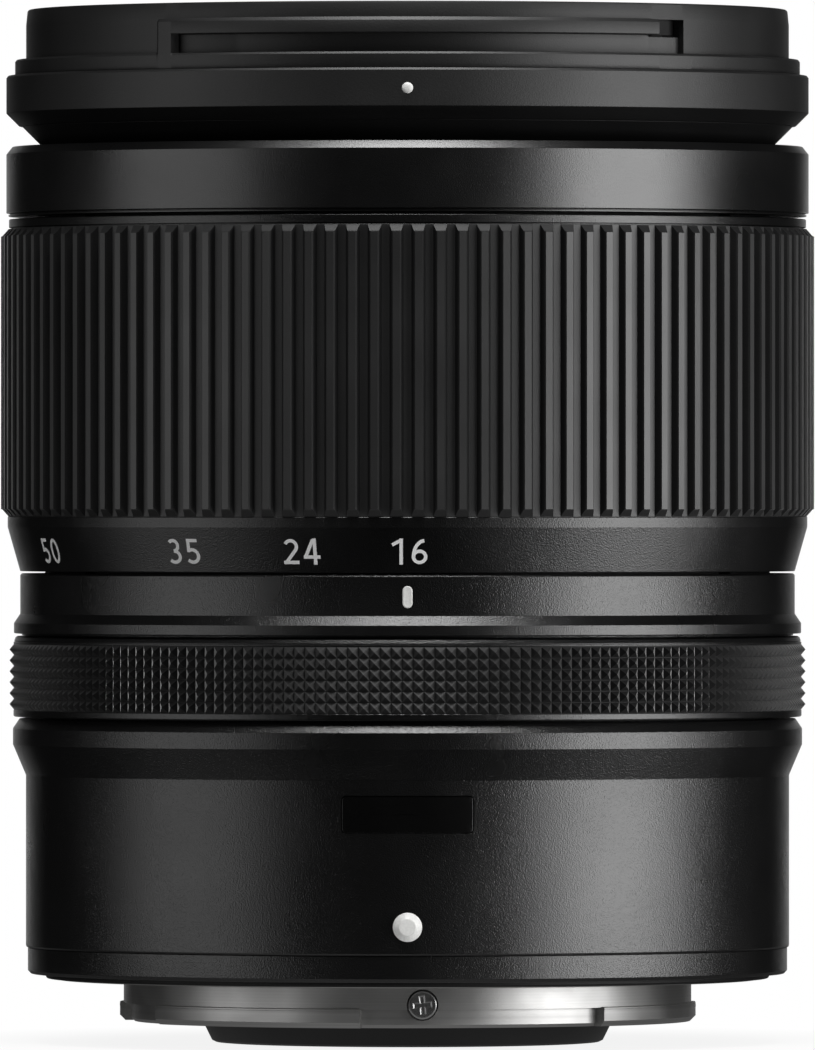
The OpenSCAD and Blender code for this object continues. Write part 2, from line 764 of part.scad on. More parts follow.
// Rear casing with badge recess and bead hole
module rear_barrel() color(plastic) {
  top_in = body_flare_r - 0.35;
  difference() {
    turned([[seat_r, seam_z], [body_r - 0.18, seam_z], [body_r, seam_z + 0.18],
      [body_r, body_top_z - body_bevel_h - body_rim_h - body_taper_h],
      [body_flare_r, body_top_z - body_bevel_h - body_rim_h], [body_flare_r, body_top_z - body_bevel_h],
      [top_in, body_top_z], [seat_r, body_top_z]]);
    inlay(index_angle, seam_z + badge_up, body_r - badge_depth - 0.3, body_r + 2)
      round_rect(badge_w, badge_h, 0.4);
    radial(index_angle, seam_z + bead_up) translate([0, 0, body_r - 0.9])
      cylinder(r = bead_r + 0.04, h = 4, $fn = 64);
  }
}

// Bare badge plate in the casing
module badge_plate() color(inner_plastic) {
  inlay(index_angle, seam_z + badge_up, body_r - badge_depth - 0.28, body_r - badge_depth)
    round_rect(badge_w - 0.08, badge_h - 0.08, 0.36);
}

// White bead that shows where the mount lines up
module mount_index_bead() color(white) {
  radial(index_angle, seam_z + bead_up) translate([0, 0, body_r - 0.88]) {
    cylinder(r = bead_r, h = 1.1, $fn = 64);
    translate([0, 0, 1.1]) cylinder(r1 = bead_r, r2 = bead_r * 0.56, h = 0.45, $fn = 64);
  }
}

// Fixed ring that carries the zoom index
module index_ring() color(plastic) {
  rim_r = index_r + index_flare;
  difference() {
    turned([[seat_r, index_z], [rim_r - 0.15, index_z], [rim_r, index_z + 0.15],
      [rim_r, index_z + index_rim_h], [index_r, index_z + index_rim_h + 0.86],
      [index_r, index_top_z - 0.12], [index_r - 0.12, index_top_z], [seat_r, index_top_z]]);
    inlay(index_angle, index_top_z - 1.85, index_r - 0.42, index_r + 1) stadium(mark_w + 0.06, mark_h + 0.06);
  }
}

// White mark in the index ring
module zoom_index_mark() color(white) {
  inlay(index_angle, index_top_z - 1.85, index_r - 0.4, index_r + 0.06) stadium(mark_w, mark_h);
}

// Knurled control ring, its knurl as turned ridges
module control_ring() color(plastic) {
  field = 6 * knurl_pitch;
  low = control_z + (control_h - field) / 2;
  teeth = [for (i = [0 : 5]) for (p = [[0, 0], [knurl_h, 0.5]])
    [control_r + p[0], low + (i + p[1]) * knurl_pitch]];
  turned(concat([[ride_r, control_z], [control_r - 0.2, control_z], [control_r, control_z + 0.2]], teeth,
    [[control_r, low + field], [control_r, control_top_z - 0.25], [control_r - 0.2, control_top_z],
    [ride_r, control_top_z], [ride_r, control_top_z - 1.5], [ride_r + 1.2, control_top_z - 1.5],
    [ride_r + 1.2, control_z + 1.5], [ride_r, control_z + 1.5]]));
}

// Fixed front ring on the end of the fixed tube
module front_trim_ring() color(plastic) {
  lip_r = front_barrel_r + 0.3;
  open_r = trim_r - 2.3;
  turned([[seat_r, trim_z], [trim_r - 0.45, trim_z], [trim_r, trim_z + 0.12],
    [trim_r, trim_top_z - trim_bevel], [trim_r - 0.55, trim_top_z], [open_r, trim_top_z],
    [open_r, lip_top_z], [lip_r, lip_top_z], [lip_r, tube_top_z], [seat_r, tube_top_z]]);
}

// Fixed inner tube with straight guide slots
module fixed_tube() color(inner_plastic) {
  slot_low = third_pin_z - follower_r - 0.4;
  slot_top = front_pin_z + front_travel + follower_r + 0.4;
  wide = (key_w / 2 + 0.6) / tube_bore_r * 180 / PI;
  difference() {
    turned([[tube_bore_r, seam_z], [tube_r, seam_z], [tube_r, tube_top_z], [tube_bore_r, tube_top_z],
      [tube_bore_r, ledge_z], [cam_bore_r, ledge_z], [cam_bore_r, ledge_z - 1], [tube_bore_r, ledge_z - 1]]);
    around(3, pin_angle) translate([tube_bore_r - cut, -slot_half, slot_low])
      cube([tube_wall + 2 * cut, 2 * slot_half, slot_top - slot_low]);
    turned_part([[tube_bore_r - cut, key_z - key_h / 2 - 0.3], [tube_r + cut, key_z - key_h / 2 - 0.3],
      [tube_r + cut, key_z + key_h / 2 + 0.3], [tube_bore_r - cut, key_z + key_h / 2 + 0.3]],
      key_angle - wide, zoom_angle + 2 * wide);
  }
}

// Rear frame that carries the rear lens, the rods and the screw posts
module rear_frame() color(inner_plastic) {
  rim_r = tube_bore_r - fit_gap;
  difference() {
    union() {
      band(rim_r, rear_lens_r, frame_z, frame_top_z - frame_z);
      band(rim_r, rim_r - 1.2, seam_z, frame_z - seam_z);
      band(holder_r, rear_lens_r - lens_lip, holder_z, frame_top_z - holder_z);
      around(4, 45) translate([screw_circle_r, 0, seam_z]) cylinder(r = 1.7, h = frame_z - seam_z);
    }
    pocket(l11_z, l11_t, l11_b, rear_lens_r, frame_top_z);
    around(4, 45) translate([screw_circle_r, 0, seam_z - cut])
      cylinder(r = screw_r + 0.02, h = frame_z - seam_z - 1 + cut);
    around(2, rod_angle) translate([rod_circle_r, 0, frame_z + 0.2]) cylinder(r = rod_r + 0.02, h = 4, $fn = 48);
    rotate(lead_angle) translate([lead_circle_r, 0, frame_z - cut]) cylinder(r = lead_r + 0.3, h = 4, $fn = 48);
  }
}

// Circuit board under the rear frame
module main_board() color(board_green) {
  in_r = holder_r + board_gap;
  out_r = screw_circle_r - board_inset;
  low = frame_z - board_t;
  turned_part([[in_r, low], [out_r, low], [out_r, frame_z], [in_r, frame_z]], lead_angle + 18, 324);
  for (a = [190, 240, 300]) {
    rotate(a) translate([in_r + 1, -2.5, low - 1]) cube([5, 5, 1.2]);
  }
}

// Last lens, fixed in the rear frame
module rear_lens() color(glass) {
  lens(l11_z, l11_t, l11_f, l11_b, rear_lens_r);
}

// Two rods that guide the focus group
module guide_rods() color(steel) {
  around(2, rod_angle) translate([rod_circle_r, 0, frame_z + 0.2])
    cylinder(r = rod_r, h = rod_top_z - frame_z - 0.2, $fn = 48);
}

// Motor that turns the lead screw
module focus_motor() color(steel) {
  rotate(lead_angle) translate([lead_circle_r, 0, 0]) difference() {
    translate([0, 0, 2.6]) cylinder(r = motor_r, h = frame_z - 2.6);
    translate([0, 0, 3.8]) cylinder(r = lead_r + 0.05, h = frame_z, $fn = 48);
  }
}

// Zoom ring with the tapered scale and a seat for the grip
module zoom_ring() color(plastic) {
  hollow_r = ride_r + zoom_hollow;
  band_r = grip_floor_r;
  difference() {
    turned([[ride_r, zoom_z], [band_r - scale_taper, zoom_z], [band_r, scale_top_z], [band_r, grip_z],
      [zoom_r, grip_z], [zoom_r, grip_top_z + grip_gap], [band_r - 0.12, grip_top_z + grip_gap],
      [band_r - 0.12, zoom_top_z - 0.12], [band_r - 0.24, zoom_top_z], [ride_r, zoom_top_z],
      [ride_r, zoom_top_z - 2], [hollow_r, zoom_top_z - 2], [hollow_r, zoom_z + 2], [ride_r, zoom_z + 2]]);
    key_block(key_w + 0.06, key_h + 0.06, ride_r, hollow_r + 0.5);
  }
}

// Block on a radius between two curved ends
module key_block(w, h, r_in, r_out) {
  intersection() {
    rotate(key_angle) translate([r_in - 2, -w / 2, key_z - h / 2]) cube([r_out - r_in + 4, w, h]);
    band(r_out, r_in, key_z - h, 2 * h);
  }
}

// Rubber grip with straight ribs and bevelled rib ends
module zoom_grip() color(rubber) {
  step = 360 / rib_count;
  out_r = grip_r + 0.1;
  outline = [for (i = [0 : rib_count - 1]) for (p = [[-0.345, 0], [-0.15, 1], [0.15, 1], [0.345, 0]])
    let (w = (i + p[0]) * step, r = p[1] == 1 ? out_r : grip_floor_r) [r * cos(w), r * sin(w)]];
  intersection() {
    translate([0, 0, grip_z]) linear_extrude(height = grip_h) difference() {
      polygon(outline);
      circle(r = grip_bore_r);
    }
    turned([[0, grip_z], [grip_floor_r + 0.02, grip_z], [grip_r, grip_z + rib_h + 0.1],
      [grip_r, grip_top_z - rib_h - 0.1], [grip_floor_r + 0.02, grip_top_z], [0, grip_top_z]]);
  }
}

// Cam barrel with three slanted slots for each moving group
module cam_barrel() color(metal) {
  difference() {
    band(cam_r, cam_bore_r, cam_z, cam_top_z - cam_z);
    for (i = [0 : 2]) cam_slot(pin_angle + 120 * i, front_pin_z, front_travel);
    for (i = [0 : 2]) cam_slot(pin_angle + 120 * i, second_pin_z, second_travel);
    for (i = [0 : 2]) cam_slot(pin_angle + 120 * i, third_pin_z, third_travel);
    rotate(key_angle) translate([cam_bore_r - cut, -key_w / 2 - 0.03, key_z - key_h / 2 - 0.03])
      cube([cam_wall + 2 * cut, key_w + 0.06, key_h + 0.06]);
  }
}

// Key that joins the zoom ring to the cam barrel
module zoom_key() color(steel) {
  key_block(key_w, key_h, cam_bore_r + 0.1, ride_r + zoom_hollow + 0.45);
}

// Extending barrel with a conical shoulder
module front_barrel() color(plastic) {
  difference() {
    turned([[front_bore_r, front_tail_z], [front_barrel_r, front_tail_z],
      [front_barrel_r, cone_foot_z], [cone_r, collar_z], [front_bore_r, collar_z]]);
    follower_holes(front_pin_z, front_bore_r - cut, front_barrel_r + cut);
  }
}

// Collar between the barrel's shoulder and the filter ring
module front_collar() color(plastic) {
  difference() {
    turned([[front_bore_r, collar_z], [cone_r + 0.25, collar_z], [collar_r, collar_z + collar_r - cone_r - 0.25],
      [collar_r, collar_top_z - 0.15], [collar_r - 0.15, collar_top_z], [collar_r - 1.5, collar_top_z],
      [collar_r - 1.5, collar_z + 1.5], [front_bore_r + 1.5, collar_z + 1.5],
      [front_bore_r + 1.5, collar_top_z], [front_bore_r, collar_top_z]]);
    radial(index_angle, collar_z + collar_h * 0.6) translate([0, 0, collar_r - 0.4])
      cylinder(r = dot_r + 0.03, h = 2, $fn = 48);
  }
}

// White dot that shows where the hood lines up
module hood_index_dot() color(white) {
  radial(index_angle, collar_z + collar_h * 0.6) translate([0, 0, collar_r - 0.38])
    cylinder(r = dot_r, h = 0.36, $fn = 48);
}

// Filter ring with two hood rails
module filter_ring() color(plastic) {
  difference() {
    union() {
      turned([[front_bore_r, collar_top_z], [hood_r, collar_top_z], [hood_r, hood_step_z - 0.15],
        [hood_r - 0.15, hood_step_z], [filter_r, hood_step_z], [filter_r, filter_top_z - 1.5],
        [filter_r - 0.14, filter_top_z - 0.12], [filter_r - 0.26, filter_top_z],
        [filter_bore_r + 0.5, filter_top_z], [filter_bore_r, filter_top_z - 0.5],
        [filter_bore_r, thread_z], [name_seat_r, thread_z], [name_seat_r, shelf_z], [front_bore_r, shelf_z]]);
      for (a = [0, 180]) hood_rail(index_angle + a);
    }
    for (a = [0, 180]) hood_slot(index_angle + a);
  }
}

// Raised block over the step, from which the slot leaves a rail closed at one end
module hood_rail(a) {
  rail = [[filter_r - 0.5, hood_step_z - 0.3], [hood_r, hood_step_z - 0.3], [hood_r, rail_top_z - 0.2],
    [hood_r - 0.2, rail_top_z], [filter_r - 0.5, rail_top_z]];
  turned_part(rail, a - 39.2, 79.2);
}

// Slot below the rail and the notch where the hood enters
module hood_slot(a) {
  floor_r = filter_r - hood_slot_d;
  slot = [[floor_r, hood_step_z], [hood_r + cut, hood_step_z], [hood_r + cut, rail_z], [floor_r, rail_z]];
  turned_part(slot, a - 36.4, 79.4);
  intersection() {
    rotate(a + 60) translate([filter_r * cos(21), -20, hood_step_z]) cube([5, 40, rail_top_z - hood_step_z]);
    turned_part([[filter_bore_r + 0.3, hood_step_z], [hood_r + cut, hood_step_z], [hood_r + cut, rail_top_z],
      [filter_bore_r + 0.3, rail_top_z]], a + 39.3, 6.1);
  }
}

// Plain ring inside the filter thread
module name_ring() color(plastic) {
  out_r = name_seat_r - fit_gap;
  step_r = front_bore_r - 0.2;
  turned([[name_in_r, front_cell_top_z + 0.02], [step_r, front_cell_top_z + 0.02], [step_r, shelf_z],
    [out_r, shelf_z], [out_r, shelf_z + name_t], [out_r - 0.7, shelf_z + name_t],
    [step_r, shelf_z + name_edge], [name_in_r, front_cell_top_z + 0.4]]);
}

// Cell of the front group
module front_cell() color(inner_plastic) {
  difference() {
    band(front_bore_r - fit_gap, lens3_r - lens_lip, front_cell_z, front_cell_top_z - front_cell_z);
    pocket(l1_z, l1_t, l1_b, front_lens_r, front_cell_top_z);
    pocket(l2_z, l2_t, l2_b, lens2_r, front_cell_top_z);
    pocket(l3_z, l3_t, l3_b, lens3_r, front_cell_top_z);
  }
}

// First lens of the front group
module front_lens_1() color(glass) {
  lens(l1_z, l1_t, l1_f, l1_b, front_lens_r);
}

// Second lens of the front group
module front_lens_2() color(glass) {
  lens(l2_z, l2_t, l1_b, l2_b, lens2_r);
}

// Third lens of the front group
module front_lens_3() color(glass) {
  lens(l3_z, l3_t, l3_f, l3_b, lens3_r);
}

// Followers of the front group
module front_followers() color(brass) {
  followers(front_pin_z, front_bore_r + 0.05);
}

// Cell of the second group with a skirt down to its followers
module second_cell() color(inner_plastic) {
  difference() {
    union() {
      band(second_r, lens6_r - lens_lip, second_cell_z, second_cell_top_z - second_cell_z);
      band(skirt_r, lens6_r - lens_lip, second_cell_z, 1.8);
      band(skirt_r, skirt_r - 1.2, skirt_z, second_cell_z + 1.8 - skirt_z);
    }
    pocket(l4_z, l4_t, l4_b, second_lens_r, second_cell_top_z);
    pocket(l5_z, l5_t, l5_b, lens5_r, second_cell_top_z);
    pocket(l6_z, l6_t, l6_b, lens6_r, second_cell_top_z);
    follower_holes(second_pin_z, skirt_r - 2.2, skirt_r + cut);
  }
}

// First lens of the second group
module second_lens_1() color(glass) {
  lens(l4_z, l4_t, l4_f, l4_b, second_lens_r);
}

// Second lens of the second group
module second_lens_2() color(glass) {
  lens(l5_z, l5_t, l5_f, l5_b, lens5_r);
}

// Third lens of the second group
module second_lens_3() color(glass) {
  lens(l6_z, l6_t, l6_f, l6_b, lens6_r);
}

// Followers of the second group
module second_followers() color(brass) {
  followers(second_pin_z, skirt_r - 1.1);
}

// Cell of the third group with a guiding disc
module third_cell() color(inner_plastic) {
  disc_r = cam_bore_r - 0.3;
  difference() {
    union() {
      band(third_r, lens9_r - lens_lip, third_low_z, third_top_z - third_low_z);
      band(disc_r, third_r - 0.5, third_disc_z, third_disc_top_z - third_disc_z);
    }
    pocket(l7_z, l7_t, l7_b, third_lens_r, third_top_z);
    pocket(l8_z, l8_t, l8_b, lens8_r, third_top_z);
    pocket(l9_z, l9_t, l9_b, lens9_r, third_top_z);
    follower_holes(third_pin_z, disc_r - 4, disc_r + cut);
  }
}

// First lens of the third group
module third_lens_1() color(glass) {
  lens(l7_z, l7_t, l7_f, l7_b, third_lens_r);
}

// Second lens of the third group
module third_lens_2() color(glass) {
  lens(l8_z, l8_t, l8_f, l8_b, lens8_r);
}

// Third lens of the third group
module third_lens_3() color(glass) {
  lens(l9_z, l9_t, l8_b, l9_b, lens9_r);
}

// Followers of the third group
module third_followers() color(brass) {
  followers(third_pin_z, cam_bore_r - 4.2);
}

// Base of the aperture unit with the blade pivots
module aperture_base() color(plastic) {
  turned([[iris_r, third_top_z], [unit_r, third_top_z], [unit_r, cover_z], [unit_r - unit_wall, cover_z],
    [unit_r - unit_wall, third_top_z + plate_t], [iris_r, third_top_z + plate_t]]);
  around(blade_count, 0) translate([pivot_r, 0, third_top_z + plate_t / 2])
    cylinder(r = pivot_pin_r, h = cover_z - third_top_z - plate_t / 2, $fn = 32);
}

// Cover of the aperture unit
module aperture_cover() color(plastic) {
  band(unit_r, iris_r, cover_z, 0.5);
}

// Coil that turns the aperture ring
module aperture_coil() color(brass) {
  turned_part([[pivot_r + 0.75, third_top_z + plate_t], [drive_in_r - 0.3, third_top_z + plate_t],
    [drive_in_r - 0.3, ring_top_z], [pivot_r + 0.75, ring_top_z]], 12, 28);
}

// Ring that drives the blades by radial notches
module aperture_ring() color(steel) {
  difference() {
    band(drive_out_r, drive_in_r, ring_low_z, ring_top_z - ring_low_z);
    around(blade_count, 0) translate([drive_r - 1.1, -drive_pin_r - 0.07, ring_low_z - cut])
      cube([1.6, 2 * drive_pin_r + 0.14, 3]);
  }
}

// One aperture blade in its own layer, with a drive pin reaching down to the ring
module blade(i) {
  z = first_blade_z + i * blade_pitch;
  far = 2 * blade_out_r;
  rotate(i * 360 / blade_count) {
    translate([0, 0, z]) linear_extrude(height = blade_t) difference() {
      union() {
        intersection() {
          difference() {
            circle(r = blade_out_r);
            circle(r = blade_in_r);
          }
          polygon([[0, 0], [far * cos(4), -far * sin(4)], [far * cos(54), far * sin(54)],
            [far * cos(112), far * sin(112)]]);
        }
        translate([blade_out_r - 0.6, -1]) square([drive_r - blade_out_r + 0.6, 2]);
        translate([drive_r, 0]) circle(r = 1, $fn = 32);
      }
      translate([pivot_r, 0]) circle(r = pivot_pin_r + 0.06, $fn = 32);
    }
    translate([drive_r, 0, ring_low_z + 0.1]) cylinder(r = drive_pin_r, h = z + blade_t - ring_low_z - 0.1, $fn = 32);
  }
}

// Blade in the first layer
module aperture_blade_1() color(steel) {
  blade(0);
}

// Blade in the second layer
module aperture_blade_2() color(steel) {
  blade(1);
}

// Blade in the third layer
module aperture_blade_3() color(steel) {
  blade(2);
}

// Blade in the fourth layer
module aperture_blade_4() color(steel) {
  blade(3);
}

// Blade in the fifth layer
module aperture_blade_5() color(steel) {
  blade(4);
}

// Blade in the sixth layer
module aperture_blade_6() color(steel) {
  blade(5);
}

// Blade in the seventh layer
module aperture_blade_7() color(steel) {
  blade(6);
}

// Cell of the focus lens with two guide sleeves and a nut
module focus_cell() color(inner_plastic) {
  wall_r = focus_lens_r + fit_gap + 1.5;
  difference() {
    union() {
      band(wall_r, focus_lens_r - lens_lip, focus_z, focus_top_z - focus_z);
      around(2, rod_angle) {
        translate([wall_r - 1, -1.4, focus_z]) cube([rod_circle_r - wall_r + 1, 2.8, 2]);
        translate([rod_circle_r, 0, focus_z]) cylinder(r = rod_r + 1, h = focus_top_z - focus_z, $fn = 48);
      }
      rotate(lead_angle) {
        translate([wall_r - 1, -1.6, focus_z]) cube([lead_circle_r - wall_r + 1, 3.2, 2]);
        translate([lead_circle_r, 0, focus_z]) cylinder(r = lead_r + 1.2, h = focus_top_z - focus_z, $fn = 48);
      }
    }
    pocket(l10_z, l10_t, l10_b, focus_lens_r, focus_top_z);
    around(2, rod_angle) translate([rod_circle_r, 0, focus_z - cut])
      cylinder(r = rod_r + 0.06, h = 6, $fn = 48);
    rotate(lead_angle) translate([lead_circle_r, 0, focus_z - cut])
      cylinder(r = lead_r + 0.08, h = 6, $fn = 48);
  }
}

// Focus lens
module focus_lens() color(glass) {
  lens(l10_z, l10_t, l10_f, l10_b, focus_lens_r);
}

// Screw that moves the focus group
module lead_screw() color(steel) {
  rotate(lead_angle) translate([lead_circle_r, 0, 3.9])
    cylinder(r = lead_r, h = rod_top_z - 4.4, $fn = 48);
}

bayonet_mount();
mount_screws();
bayonet_stop_screw();
mount_seal();
rear_baffle();
contact_block();
contact_pads();
rear_ring();
rear_barrel();
badge_plate();
mount_index_bead();
index_ring();
zoom_index_mark();
front_trim_ring();
fixed_tube();
rear_frame();
main_board();
rear_lens();
guide_rods();
focus_motor();
zoom_ring();
zoom_grip();
cam_barrel();
zoom_key();
control_ring();
front_barrel();
front_collar();
filter_ring();
hood_index_dot();
name_ring();
front_cell();
front_lens_1();
front_lens_2();
front_lens_3();
front_followers();
second_cell();
second_lens_1();
second_lens_2();
second_lens_3();
second_followers();
third_cell();
third_lens_1();
third_lens_2();
third_lens_3();
third_followers();
aperture_base();
aperture_cover();
aperture_coil();
aperture_ring();
aperture_blade_1();
aperture_blade_2();
aperture_blade_3();
aperture_blade_4();
aperture_blade_5();
aperture_blade_6();
aperture_blade_7();
focus_cell();
focus_lens();
lead_screw();
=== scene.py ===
# Camera zoom lens: fine shapes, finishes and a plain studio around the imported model.
# Sizes are in millimetres in the pieces' outlines and become metres in the meshes.
import math

import bpy
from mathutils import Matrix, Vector


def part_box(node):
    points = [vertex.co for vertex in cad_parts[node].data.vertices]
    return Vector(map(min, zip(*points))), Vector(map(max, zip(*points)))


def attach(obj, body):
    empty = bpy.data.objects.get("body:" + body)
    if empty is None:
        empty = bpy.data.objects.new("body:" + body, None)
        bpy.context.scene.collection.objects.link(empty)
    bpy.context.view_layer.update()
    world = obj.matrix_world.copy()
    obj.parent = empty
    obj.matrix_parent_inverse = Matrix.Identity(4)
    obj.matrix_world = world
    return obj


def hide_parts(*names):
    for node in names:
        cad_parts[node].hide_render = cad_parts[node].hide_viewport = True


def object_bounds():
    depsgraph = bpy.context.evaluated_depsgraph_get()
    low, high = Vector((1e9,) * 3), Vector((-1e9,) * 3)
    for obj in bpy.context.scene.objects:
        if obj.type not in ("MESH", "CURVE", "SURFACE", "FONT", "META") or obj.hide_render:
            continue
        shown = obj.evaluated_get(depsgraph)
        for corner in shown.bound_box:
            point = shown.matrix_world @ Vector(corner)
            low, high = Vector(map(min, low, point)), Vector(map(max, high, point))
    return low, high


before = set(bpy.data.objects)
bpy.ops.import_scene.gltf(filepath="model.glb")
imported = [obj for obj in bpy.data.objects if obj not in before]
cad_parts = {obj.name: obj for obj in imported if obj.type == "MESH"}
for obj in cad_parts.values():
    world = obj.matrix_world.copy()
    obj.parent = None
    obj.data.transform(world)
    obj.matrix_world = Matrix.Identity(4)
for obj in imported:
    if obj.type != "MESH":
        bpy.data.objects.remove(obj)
cad_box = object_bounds()

MM = 0.001
TURN = 2 * math.pi
FRONT = -90.0
RING_STEPS = 360
ARC_STEPS = 4


def span(name):
    """Lowest height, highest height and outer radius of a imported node, in millimetres."""
    low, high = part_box(name)
    return low.z / MM, high.z / MM, high.x / MM


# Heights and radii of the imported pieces
ring_low, seam, rear_ring_r = span("rear_ring")
_, body_top, body_flare_r = span("rear_barrel")
control_low, control_top, knurl_r = span("control_ring")
index_low, index_top, index_rim_r = span("index_ring")
zoom_low, zoom_top, band_r = span("zoom_ring")
grip_low, grip_top, grip_r = span("zoom_grip")
trim_low, trim_top, trim_r = span("front_trim_ring")
tail_low, collar_low, cone_r = span("front_barrel")
_, collar_top, collar_r = span("front_collar")
_, filter_top, hood_r = span("filter_ring")
name_low, name_top, name_r = span("name_ring")
seal_low, seal_top, seal_r = span("mount_seal")

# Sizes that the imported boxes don't show
body_r = rear_ring_r + 0.18
seat_r = body_r - 1.68
ride_r = seat_r + 0.07
knurl_floor_r = knurl_r - 0.36
index_r = index_rim_r - 0.58
scale_h = 3.96
scale_taper = 1.15
grip_floor_r = grip_r - 0.62
grip_bore_r = grip_floor_r - 0.45
barrel_r = cone_r - 4.53
barrel_bore_r = barrel_r - 1.1
filter_r = hood_r - 1.01
hood_step_z = collar_top + 1.45
rail_z = hood_step_z + 1.72
rail_top = rail_z + 1.38
slot_floor_r = filter_r - 0.6
thread_crest_r = barrel_bore_r + 3.4
thread_root_r = thread_crest_r + 0.38
shelf_z = collar_top + 1.0
thread_low = shelf_z + 1.55
groove_more = 0.04
RIBS = 117
KNURL_COLUMNS = 231
KNURL_ROWS = 6
KNURL_ROW_H = 1.0
knurl_low = (control_low + control_top) / 2 - 3.07
knurl_land_r = knurl_floor_r - 0.03
badge_z = seam + 12.7

# First angle from the front and sweep of each bayonet lug, in degrees
LUG_SECTORS = ((-60.4, 50.9), (42.5, 50.0), (132.0, 45.0), (220.0, 47.0))


# Meshes

def new_piece(name, verts, faces, smooth=True):
    """A mesh object in the scene, its points given in millimetres."""
    mesh = bpy.data.meshes.new(name)
    mesh.from_pydata([Vector(v) * MM for v in verts], [], faces)
    mesh.validate()
    if smooth:
        mesh.shade_smooth()
    piece = bpy.data.objects.new(name, mesh)
    bpy.context.scene.collection.objects.link(piece)
    return piece


def rounded(outline):
    """Points and outward normals of a closed outline of (radius, height, fillet)."""
    section = []
    for i, (r, z, fillet) in enumerate(outline):
        corner = Vector((r, z))
        back = Vector(outline[i - 1][:2]) - corner
        ahead = Vector(outline[(i + 1) % len(outline)][:2]) - corner
        room = 0.45 * min(back.length, ahead.length)
        back.normalize()
        ahead.normalize()
        half = back.angle(ahead) / 2
        reach = min(fillet / math.tan(half), room)
        radius = reach * math.tan(half)
        centre = corner + (back + ahead).normalized() * radius / math.sin(half)
        first = corner + back * reach - centre
        last = corner + ahead * reach - centre
        outward = Vector((-back.y, back.x))
        side = 1 if first.dot(outward) > 0 else -1
        sweep = first.angle_signed(last)
        for k in range(ARC_STEPS + 1):
            turn = math.atan2(first.y, first.x) - sweep * k / ARC_STEPS
            ray = Vector((math.cos(turn), math.sin(turn)))
            section.append((centre + ray * radius, ray * side))
    return section


def strip(here, ahead, count):
    """Faces between two copies of a closed section, from the numbers of their first points."""
    return [(here + j, ahead + j, ahead + (j + 1) % count, here + (j + 1) % count) for j in range(count)]


def turned(name, outline):
    """A ring turned from a closed outline, with rounded corners and true normals."""
    section = rounded(outline)
    count = len(section)
    verts, normals, faces = [], [], []
    for i in range(RING_STEPS):
        c, s = math.cos(TURN * i / RING_STEPS), math.sin(TURN * i / RING_STEPS)
        for point, normal in section:
            verts.append((point.x * c, point.x * s, point.y))
            normals.append((normal.x * c, normal.x * s, normal.y))
        faces += strip(i * count, (i + 1) % RING_STEPS * count, count)
    piece = new_piece(name, verts, faces)
    piece.data.normals_split_custom_set_from_vertices(normals)
    return piece


def turned_in_stations(name, stations, sharp):
    """A ring whose outline changes with the angle, from (angle in degrees, points)."""
    count = len(stations[0][1])
    verts, faces = [], []
    for i, (angle, points) in enumerate(sorted(stations, key=lambda station: station[0])):
        c, s = math.cos(math.radians(angle)), math.sin(math.radians(angle))
        verts += [(r * c, r * s, z) for r, z in points]
        faces += strip(i * count, (i + 1) % len(stations) * count, count)
    return evenly_shaded(new_piece(name, verts, faces), sharp)


def pad_loop(width, height, corner, per_corner=8, per_side=16):
    """Points around a rounded oblong, with no doubled point where a side has no length."""
    w, h = width / 2 - corner, height / 2 - corner
    loop = []
    for sx, sy, start in ((1, 1, 0), (-1, 1, 90), (-1, -1, 180), (1, -1, 270)):
        level = sx * sy > 0
        side = w if level else h
        for k in range(per_corner + (1 if side > 0 else 0)):
            a = math.radians(start + 90 * k / per_corner)
            loop.append((sx * w + corner * math.cos(a), sy * h + corner * math.sin(a)))
        if level and w > 0:
            loop += [(sx * (w - 2 * w * k / per_side), sy * (h + corner)) for k in range(1, per_side)]
    return loop


def stacked_faces(levels, count):
    """Faces of a shape built up in closed loops of points, with both ends closed."""
    faces = []
    for level in range(levels - 1):
        for j in range(count):
            a, b = level * count + j, level * count + (j + 1) % count
            faces.append((a, b, b + count, a + count))
    faces.append(tuple((levels - 1) * count + j for j in range(count)))
    faces.append(tuple(reversed(range(count))))
    return faces


def plaque(name, width, height, corner, layers, base_r, centre_z, sharp=50):
    """A low pad on a ring's front, in layers of (inset, height above the ring) from its foot up."""
    outer = pad_loop(width, height, corner)
    verts = []
    for inset, lift in layers:
        if inset < corner:
            loop = [(x - inset * ray.x, y - inset * ray.y) for (x, y), ray in zip(outer, pad_rays(outer))]
        else:
            wide, tall = 1 - 2 * inset / width, 1 - 2 * inset / height
            loop = [(x * wide, y * tall) for x, y in outer]
        r = base_r + lift
        for x, y in loop:
            turn = math.radians(FRONT) + x / base_r
            verts.append((r * math.cos(turn), r * math.sin(turn), centre_z + y))
    faces = stacked_faces(len(layers), len(outer))
    return evenly_shaded(new_piece(name, verts, faces), sharp)


def pad_rays(loop):
    """Outward directions at the points of a loop."""
    rays = []
    for i in range(len(loop)):
        along = Vector(loop[(i + 1) % len(loop)]) - Vector(loop[i - 1])
        rays.append(Vector((along.y, -along.x)).normalized())
    return rays


def settled(piece):
    """The piece with its modifiers turned into a plain mesh."""
    graph = bpy.context.evaluated_depsgraph_get()
    mesh = bpy.data.meshes.new_from_object(piece.evaluated_get(graph), depsgraph=graph)
    piece.modifiers.clear()
    piece.data = mesh
    mesh.name = piece.name
    return piece


def evenly_shaded(piece, sharp):
    """The piece with normals that follow its large faces and break at sharp edges."""
    piece.data.set_sharp_from_angle(angle=math.radians(sharp))
    shading = piece.modifiers.new("even shading", "WEIGHTED_NORMAL")
    shading.keep_sharp = True
    return settled(piece)


def joined(piece, *others):
    """One piece from several meshes at the same place."""
    with bpy.context.temp_override(active_object=piece, selected_editable_objects=[piece, *others]):
        bpy.ops.object.join()
    return piece


# Node trees for what repeats around the axis or follows a spiral

